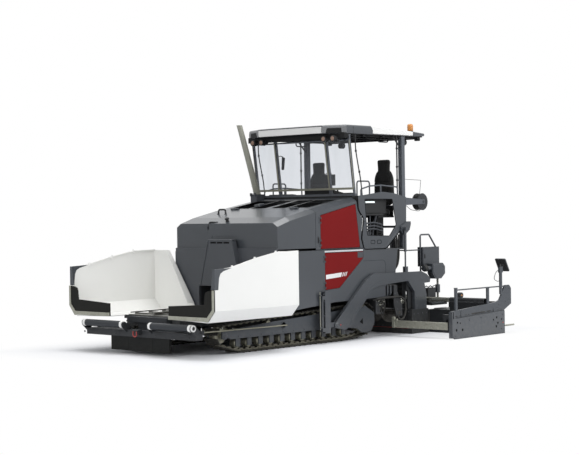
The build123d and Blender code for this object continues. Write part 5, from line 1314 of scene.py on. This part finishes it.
wire_low = pipe(bent([(1.12, 2.16, 2.33), (1.125, 2.3, 2.245), (1.125, 2.56, 2.215), (1.125, 2.72, 2.345)],
    0.05), 0.005, 8)
make("reel_guard", "tractor", "lamp_black", (black_plastic, wire, wire_low))


# ---------------------------------------------------------------- tow arms and levelling posts
# Burned plate arms, each pulled by a pin block that slides in a channel post at the tractor's side.
# A pale scale rod stands before each post, and turned caps close the arms' pins.
repaint(slate_coat, "levelling_guides", "tow_arms")
repaint(dark_slate, "tow_sliders")
guide_low, guide_high = corners("levelling_guides")
arm_x = corners("tow_arms")[1][0]
rod_x, rod_y = guide_high[0] - 0.028, guide_low[1] - 0.028
scale_rod = pipe([(rod_x, rod_y, guide_low[2] + 0.06), (rod_x, rod_y, guide_high[2])], 0.007, 8)
rod_clips = copies(block((rod_x - 0.014, rod_y - 0.012, -0.01), (rod_x + 0.014, guide_low[1] + 0.002, 0.01),
    0.002), [(0, 0, guide_low[2] + 0.1), (0, 0, guide_high[2] - 0.06)])
guide_bolts = bolts([(guide_high[0], guide_low[1] + 0.035, z)
    for z in guide_low[2] + np.array([0.06, 0.3, 0.54, 0.66])], 0.009, 0.006)
make("levelling_post_details", "tractor", "body_grey", (strip_steel, scale_rod),
    (slate_coat, rod_clips, guide_bolts), laid=both_sides)
arm_bolts = bolts([(arm_x - 0.0005, y, z) for y, z in ((2.26, 0.5), (2.5, 0.5), (2.26, 0.66), (2.5, 0.66),
    (2.44, 0.98), (2.6, 0.96))], 0.013, 0.006)
arm_cap = turned([(-0.002, 0.036), (0.005, 0.036), (0.009, 0.03), (0.01, 0.008)], 24,
    (arm_x - 0.001, 0.02, 0.31))
lift_cap = turned([(-0.002, 0.02), (0.003, 0.02), (0.004, 0.008)], 20, (arm_x - 0.002, 1.975, 1.19))
arm_web = plate([(0.3, 0.292), (0.98, 0.928), (1.2, 0.968), (1.98, 1.01), (2.0, 1.018), (1.2, 0.978),
    (0.97, 0.938), (0.292, 0.3)], "x", arm_x - 0.001, arm_x + 0.002, 0.0005)
make("tow_arm_details", "screed", "body_grey", (slate_coat, arm_cap, lift_cap, arm_bolts, arm_web),
    (hook_red, bolts([(arm_x, 0.105, 0.3)], 0.01, 0.006)), laid=both_sides)


# ---------------------------------------------------------------- lift cylinders and hoses
# Painted barrels and rods.  Corrugated hose looms hang beside them, and valve blocks with plated
# fittings sit behind the tracks.
def ribbed(path, radius, pitch=0.02):
    """Corrugated hose: the path cut at half a rib's pitch, its radius swelling at every other station."""
    path = np.asarray(path, float)
    run = np.concatenate([[0.0], np.cumsum(np.linalg.norm(np.diff(path, axis=0), axis=1))])
    stations = np.linspace(0.0, run[-1], 2 * int(run[-1] / pitch))
    line = np.column_stack([np.interp(stations, run, path[:, k]) for k in range(3)])
    return pipe(line, radius * np.where(np.arange(len(stations)) % 2, 1.0, 0.86), 10)


chrome_rod = coated("chrome_rod", (176, 176, 166), roughness=0.2, edge_tone=1.1, metallic=0.9, dust=0.0,
    grain_depth=0.0001)
repaint(slate_coat, "lift_cylinder_left", "lift_cylinder_right")
repaint(dark_slate, "lift_rod_left", "lift_rod_right")
looms = joined(*[ribbed(bent([(1.115 + 0.03 * k, 1.8 + 0.035 * k, 1.8), (1.13, 1.84 + 0.04 * k, 1.62),
    (1.13, 1.83 + 0.05 * k, 1.42), (1.12, 1.78 + 0.06 * k, 1.24), (1.05, 1.66, 1.1 - 0.04 * k),
    (0.95, 1.56, 1.04)], 0.09), 0.019) for k in range(3)])
loom_plate = plate([(1.76, 1.74), (1.93, 1.74), (1.9, 1.3), (1.84, 1.24), (1.8, 1.36)], "x",
    1.04, 1.06, 0.004)
valve_box = joined(block((0.7, 1.262, 0.4), (1.12, 1.47, 0.7), 0.01),
    block((0.7, 1.5, 0.69), (1.13, 1.64, 1.06), 0.01), block((1.02, 1.3, 0.7), (1.15, 1.46, 0.78), 0.006))
fittings = joined(*[turned([(0.0, 0.016), (0.02, 0.016), (0.022, 0.022), (0.04, 0.022),
    (0.042, 0.014), (0.06, 0.014)], 6, spot, (1, 0.2, 0.1)) for spot in ((1.115, 1.29, 0.64),
    (1.115, 1.36, 0.65), (1.115, 1.42, 0.61), (1.115, 1.43, 0.5), (1.115, 1.33, 0.56))],
    block((1.118, 1.39, 0.575), (1.16, 1.465, 0.66), 0.006),
    turned([(0.0, 0.052), (0.02, 0.056), (0.04, 0.046), (0.046, 0.012)], 28, (1.15, 1.95, 0.6)))
hoses = joined(*[pipe(bent([(1.165, y, z), (1.185, y + 0.06, z + 0.01), (1.17, y + 0.1, z - 0.1),
    (1.12, y + 0.08, z - 0.22)], 0.06), 0.011, 8) for y, z in ((1.3, 0.648), (1.36, 0.656), (1.34, 0.566))])
stand_pipes = joined(*[pipe(bent([(1.165, y, top), (1.165, y, 0.73), (1.08, y, 0.725)], 0.04), radius, 14)
    for y, top, radius in ((1.53, 0.92, 0.022), (1.62, 0.905, 0.02))])
drive_hose = pipe(bent([(1.11, 1.18, 0.66), (1.19, 1.23, 0.685), (1.198, 1.5, 0.69), (1.198, 1.86, 0.69),
    (1.198, 2.01, 0.62), (1.198, 2.02, 0.42), (1.198, 1.96, 0.29), (1.195, 1.84, 0.262), (1.175, 1.8, 0.37)],
    0.13, 6), 0.019, 12)
make("rear_hoses", "tractor", "rubber", (hose_rubber, looms, hoses, drive_hose),
    (dark_coat, valve_box, loom_plate), (chrome_rod, fittings), (slate_coat, stand_pipes), laid=both_sides)


# ---------------------------------------------------------------- augers
# Cast spiral blades on shafts that turn in a chain case at the middle and in end plates, all worn
# dark by hot mix.  The beam is bolted to the frame.
auger_steel = worn_metal("auger_steel", (84, 82, 78), roughness=0.48, stretch=(12.0, 12.0, 12.0),
    dark_share=0.7)
repaint(auger_steel, "auger_left", "auger_right")
repaint(dark_coat, "auger_beam")
beam_high = corners("auger_beam")[1]
end_bolts = bolts([(beam_high[0], y, z) for y, z in ((1.8, 0.36), (1.92, 0.36), (1.8, 0.46), (1.92, 0.46),
    (1.74, 0.74), (1.78, 0.6))], 0.012, 0.008)
case_bolts = bolts([(x, beam_high[1], z) for x in (-0.03, 0.03) for z in (0.36, 0.48, 0.6, 0.72)], 0.009,
    0.006, (0, 1, 0))
make("auger_beam_bolts", "tractor", "dark_steel", (dark_slate, both_sides(end_bolts), case_bolts))


# ---------------------------------------------------------------- screed
# Box screed of folded plate, painted near-black as painted shade, with a thin red line along its
# front and a walkway of raised-pattern plate behind.  A rack of hoses stands over its front, between
# the arms.
# Near-black paint over the screed, its racks and the extensions' kick plates and planks: painted shade, with
# real road dust low down.
screed_painted_shade_coat = coated("screed_painted_shade_coat", (38, 40, 42), roughness=0.55, edge_tone=1.5, dust=0.25, dust_height=0.5)
repaint(screed_painted_shade_coat, "screed_main")
main_low, main_high = corners("screed_main")
front_bolts = bolts([(x, main_low[1], z) for x in np.arange(-1.2, 1.21, 0.2) for z in (0.13, 0.4)], 0.011,
    0.007, (0, -1, 0))
side_bolts = both_sides(bolts([(main_high[0], y, z) for y in (2.16, 2.28, 2.42, 2.54)
    for z in (0.1, 0.36)], 0.01, 0.006))
red_line = block((-1.2, main_low[1] - 0.003, 0.098), (1.2, main_low[1] + 0.001, 0.106), 0.001)
treads = joined(block((-1.255, 2.735, 0.5195), (1.255, main_high[1] - 0.01, 0.524), 0.001),
    block((-1.262, main_high[1] - 0.012, 0.482), (1.262, main_high[1] - 0.002, 0.56), 0.002))
rack = joined(*[block(low, high, edge) for low, high, edge in (((0.56, 2.064, 0.455), (1.15, 2.098, 0.8),
    0.006), ((0.6, 2.068, 0.79), (1.19, 2.098, 1.0), 0.006), ((1.15, 2.1, 0.45), (1.192, 2.3, 0.98), 0.006),
    ((1.1, 2.4, 0.445), (1.19, 2.615, 0.8), 0.01), ((1.1, 2.715, 0.525), (1.19, 2.96, 0.8), 0.01),
    *[((x, 2.052, 0.47), (x + 0.03, 2.066, 0.97), 0.003) for x in (0.74, 0.92, 1.08)])])
rack_hoses = joined(*[pipe(bent([(0.6, 2.085, z), (0.8, 2.045, z + 0.03), (1.0, 2.045, z - 0.02),
    (1.14, 2.1, z + 0.01), (1.16, 2.22, z - 0.06)], 0.1), 0.013, 8) for z in (0.62, 0.7, 0.78, 0.86)])
ledge_box = joined(block((0.62, 2.3, 0.442), (1.19, 2.56, 0.62), 0.008), *[pipe([(1.192, y, 0.812),
    (1.192, y + 0.06, 0.838), (1.192, y + 0.12, 0.812)], 0.009, 8) for y in (2.6, 2.72, 2.84)])
make("screed_details", "screed", "dark_steel", (dark_slate, front_bolts, side_bolts),
    (screed_painted_shade_coat, both_sides(rack, ledge_box)), (deck_steel, treads), (hook_red, red_line),
    (hose_rubber, both_sides(rack_hoses)))

repaint(slate_coat, "screed_cabinets", "depth_screws")
box_x = corners("screed_cabinets")[1][0]
door_seam = pipe([(box_x + 0.0005, y, z)
    for y, z in (*rect(2.765, 1.215, 3.225, 1.525), (2.765, 1.215), (2.78, 1.215))], 0.002, 6)
door_latch = plate(rounded(rect(2.785, 1.34, 2.815, 1.42), 0.01), "x", box_x - 0.001, box_x + 0.006, 0.002)
guard_rail = pipe(bent([(-1.0, 2.74, 1.5), (-1.0, 2.33, 1.5), (1.0, 2.33, 1.5), (1.0, 2.74, 1.5)], 0.08),
    0.012)
screws_low, screws_high = corners("depth_screws")
case_x = screws_high[0]
case_rim = plate(rounded([(2.872, 1.075), (2.94, 0.985), (3.11, 0.985), (3.215, 1.06), (3.215, 1.17),
    (3.16, 1.225), (2.872, 1.225)], 0.03), "x", case_x - 0.001, case_x + 0.005, 0.003)
case_bolts = bolts([(case_x + 0.005, y, z) for y, z in ((2.9, 1.2), (2.9, 1.09), (2.96, 1.01), (3.09, 1.01),
    (3.18, 1.08), (3.17, 1.18))], 0.008, 0.005)
knob_spot = (1.14, screws_low[1] + 0.052, 1.16)
crank_knob = turned([(-0.045, 0.02), (-0.04, 0.052), (-0.012, 0.062), (0.012, 0.056), (0.03, 0.062),
    (0.055, 0.05), (0.066, 0.042)], 24, knob_spot, (0, 1, 0))
knob_rib = copies(block((-0.007, -0.036, 0.052), (0.007, 0.045, 0.074), 0.003), [knob_spot])
threads = joined(*[turned([(z, 0.0205), (z + 0.004, 0.0245), (z + 0.008, 0.0205)], 14, (1.14, 3.08, 0.0),
    (0, 0, 1)) for z in np.concatenate([np.arange(0.61, 0.69, 0.012), np.arange(0.86, 0.955, 0.012)])])
make("cabinet_fittings", "screed", "body_grey", (slate_coat, guard_rail, both_sides(case_rim, case_bolts)),
    (black_plastic, both_sides(door_seam, door_latch, crank_knob, knob_rib)),
    (chrome_rod, both_sides(threads)))


# ---------------------------------------------------------------- extensions, end gates and tablets
# Telescoping half screeds on chromed guide tubes, each closed by a sprung end gate.  A bright
# deflector plate leads each one, and a tablet on the end frame faces the walkway.
repaint(chrome_rod, "guide_tube_left", "guide_tube_right")
extension_coat = coated("extension_coat", (61, 65, 70), roughness=0.38, dust=0.2, dust_height=0.5,
    shine=0.25, gloss=0.5)
tree, shader = shading(extension_coat)
frame_x = corners("screed_extension_left")[1][0] - 0.007
place = add_node(tree, "SeparateXYZ", (object_place(tree),))
# The extension's body inboard of its end frame is painted near-black: painted shade.
inboard_painted_shade = sums(tree, "LESS_THAN", sums(tree, "ABSOLUTE", place["X"]), frame_x - 0.0315)
fill(tree, shader, {"Base Color": tinted(tree, inboard_painted_shade, source(shader, "Base Color"), rgb(36, 38, 40))})
repaint(extension_coat, "screed_extension_left", "screed_extension_right")
repaint(slate_coat, "end_gate_left", "end_gate_right")
gate_high = corners("end_gate_left")[1]
gate_face = gate_high[0]
seal_bar = block((1.226, 2.6035, 0.004), (1.29, 2.6205, 0.418), 0.002)
deflector = joined(block((1.232, 1.57, 0.155), (2.44, 1.58, 0.278), 0.003), block((1.232, 1.56, 0.262),
    (2.44, 1.582, 0.284), 0.004), block((1.23, 1.562, 0.15), (1.292, 1.6, 0.345), 0.006),
    block((1.296, 1.566, 0.235), (1.35, 1.6, 0.31), 0.006))
deflector_bolts = bolts([(x, 1.57, 0.172) for x in np.arange(1.32, 2.42, 0.13)], 0.011, 0.009, (0, -1, 0))
kick_plate = joined(block((1.292, 3.206, 0.36), (2.497, 3.216, 0.56), 0.002),
    *[block((x, 3.09, 0.35), (x + 0.04, 3.208, 0.415), 0.004) for x in (1.32, 1.9, 2.43)])
deck_plank = block((1.655, 2.765, 0.436), (2.492, 3.092, 0.473), 0.003)
frame_line = partial(np.interp, xp=(1.6, 3.1), fp=(0.386, 0.436))
# The end frame's slots are flat black plates: painted shade in the openings.
slots = joined(*[plate(rounded([(a, frame_line(a) - h), (b, frame_line(b) - h), (b, frame_line(b) + h),
    (a, frame_line(a) + h)], 0.01), "x", frame_x - 0.0005, frame_x + 0.0008, 0.0003)
    for a, b, h in ((1.6, 1.74, 0.008), (1.8, 1.86, 0.006), (1.9, 1.94, 0.006), (1.98, 2.02, 0.006),
    (2.06, 2.1, 0.006), (2.17, 2.58, 0.012), (2.63, 2.76, 0.01), (2.82, 2.92, 0.01))])
post_caps = copies(block((frame_x - 0.035, -0.036, -0.004), (frame_x + 0.004, 0.036, 0.01), 0.003),
    [(0, 1.72, 0.872), (0, 2.69, 0.832)])
lamp_block = turned([(-0.075, 0.044), (-0.07, 0.05), (-0.004, 0.05), (0.0, 0.044)], 24,
    (frame_x + 0.002, 1.88, 0.745))
plate_bolts = bolts([(frame_x, y, z) for y, z in ((1.66, 0.45), (3.02, 0.53), (3.24, 0.56), (3.36, 0.6),
    (3.36, 0.8), (3.26, 0.82))], 0.01, 0.006)
# The gate's holes are flat black discs: painted shade.
gate_holes = joined(*[turned([(-0.001, r), (0.0008, r)], 18, (gate_face, y, z))
    for y, z, r in ((1.65, 0.155, 0.024), (1.83, 0.15, 0.024), (1.68, 0.285, 0.018), (1.76, 0.27, 0.015),
    (2.78, 0.265, 0.017), (2.885, 0.3, 0.02), (2.92, 0.2, 0.02), (2.87, 0.14, 0.022), (3.04, 0.26, 0.017))])
gate_bolts = bolts([(gate_face, y, z)
    for y, z in ((3.05, 0.085), (1.62, 0.06), (2.4, 0.33), (2.05, 0.31), (3.08, 0.34))], 0.012, 0.008)
gate_edge = pipe([(gate_face - 0.003, 1.6, 0.018), (gate_face - 0.003, 3.135, 0.018)], 0.004, 6)
handle_sleeve = pipe([(gate_face - 0.018, 3.16, 0.135), (gate_face - 0.018, gate_high[1] - 0.002, 0.135)],
    0.0155, 12)
middle = np.array([frame_x - 0.06, 3.235, 1.222])


def on_tablet(shape):
    """A shape drawn across x and z, facing -y, laid on the tablet: turned about x, its head forward."""
    points, ring, counts = shape
    lean = math.radians(30.0)
    x, y, z = points.T
    leant = np.column_stack([x, y * math.cos(lean) - z * math.sin(lean),
        y * math.sin(lean) + z * math.cos(lean)])
    return leant + middle, ring, counts


tablet_case, tablet_rim, tablet_glass = [on_tablet(plate(rounded(rect(-x, -z, x, z), corner), "y", back,
    front, edge)) for x, z, corner, back, front, edge in ((0.112, 0.132, 0.025, -0.014, 0.016, 0.006),
    (0.1145, 0.135, 0.026, -0.006, 0.006, 0.003), (0.095, 0.114, 0.008, 0.015, 0.018, 0.001))]
tablet_mount = on_tablet(joined(turned([(0.0, 0.045), (0.012, 0.04), (0.026, 0.018)], 20, (0, -0.012, 0),
    (0, -1, 0)), turned([(0.0, 0.012), (0.02, 0.024), (0.04, 0.012)], 16, (0, -0.03, 0), (0, -1, 0))))
stalk = pipe(bent([(frame_x - 0.015, 3.11, 1.19), (frame_x - 0.02, 3.115, 1.225),
    (frame_x - 0.055, 3.185, 1.235)], 0.03), 0.014)
cable = pipe(bent([(frame_x - 0.05, 3.135, 1.15), (frame_x - 0.06, 3.02, 1.1), (frame_x - 0.06, 2.96, 0.97),
    (frame_x - 0.03, 3.05, 0.93), (frame_x - 0.015, 3.1, 0.955)], 0.06), 0.0055, 8)
tablet_grey = coated("tablet_grey", (96, 99, 103), roughness=0.5, edge_tone=1.3, dust=0.0)
for side, facing in sides:
    make("extension_details_" + side, "extension_" + side, "bare_steel",
        (strip_steel, deflector, deflector_bolts), (slate_coat, post_caps, plate_bolts),
        (screed_painted_shade_coat, kick_plate, deck_plank), (black_plastic, slots, lamp_block, seal_bar, cable),
        (amber, turned([(-0.001, 0.014), (0.003, 0.012)], 16, (frame_x + 0.002, 1.88, 0.745))), laid=facing)
    make("gate_details_" + side, "gate_" + side, "body_grey", (slate_coat, gate_bolts, gate_edge),
        (seam_and_shade_black, gate_holes), (strip_steel, handle_sleeve),
        (hook_red, bolts([(gate_face, 3.085, 0.2)], 0.01, 0.005)), laid=facing)
    tablet = make("tablet_" + side, "extension_" + side, "console_plastic", (black_plastic, tablet_case,
        tablet_mount, stalk), (tablet_grey, tablet_rim), (screen_glass, tablet_glass), laid=facing)
    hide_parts("gate_screen_" + side)
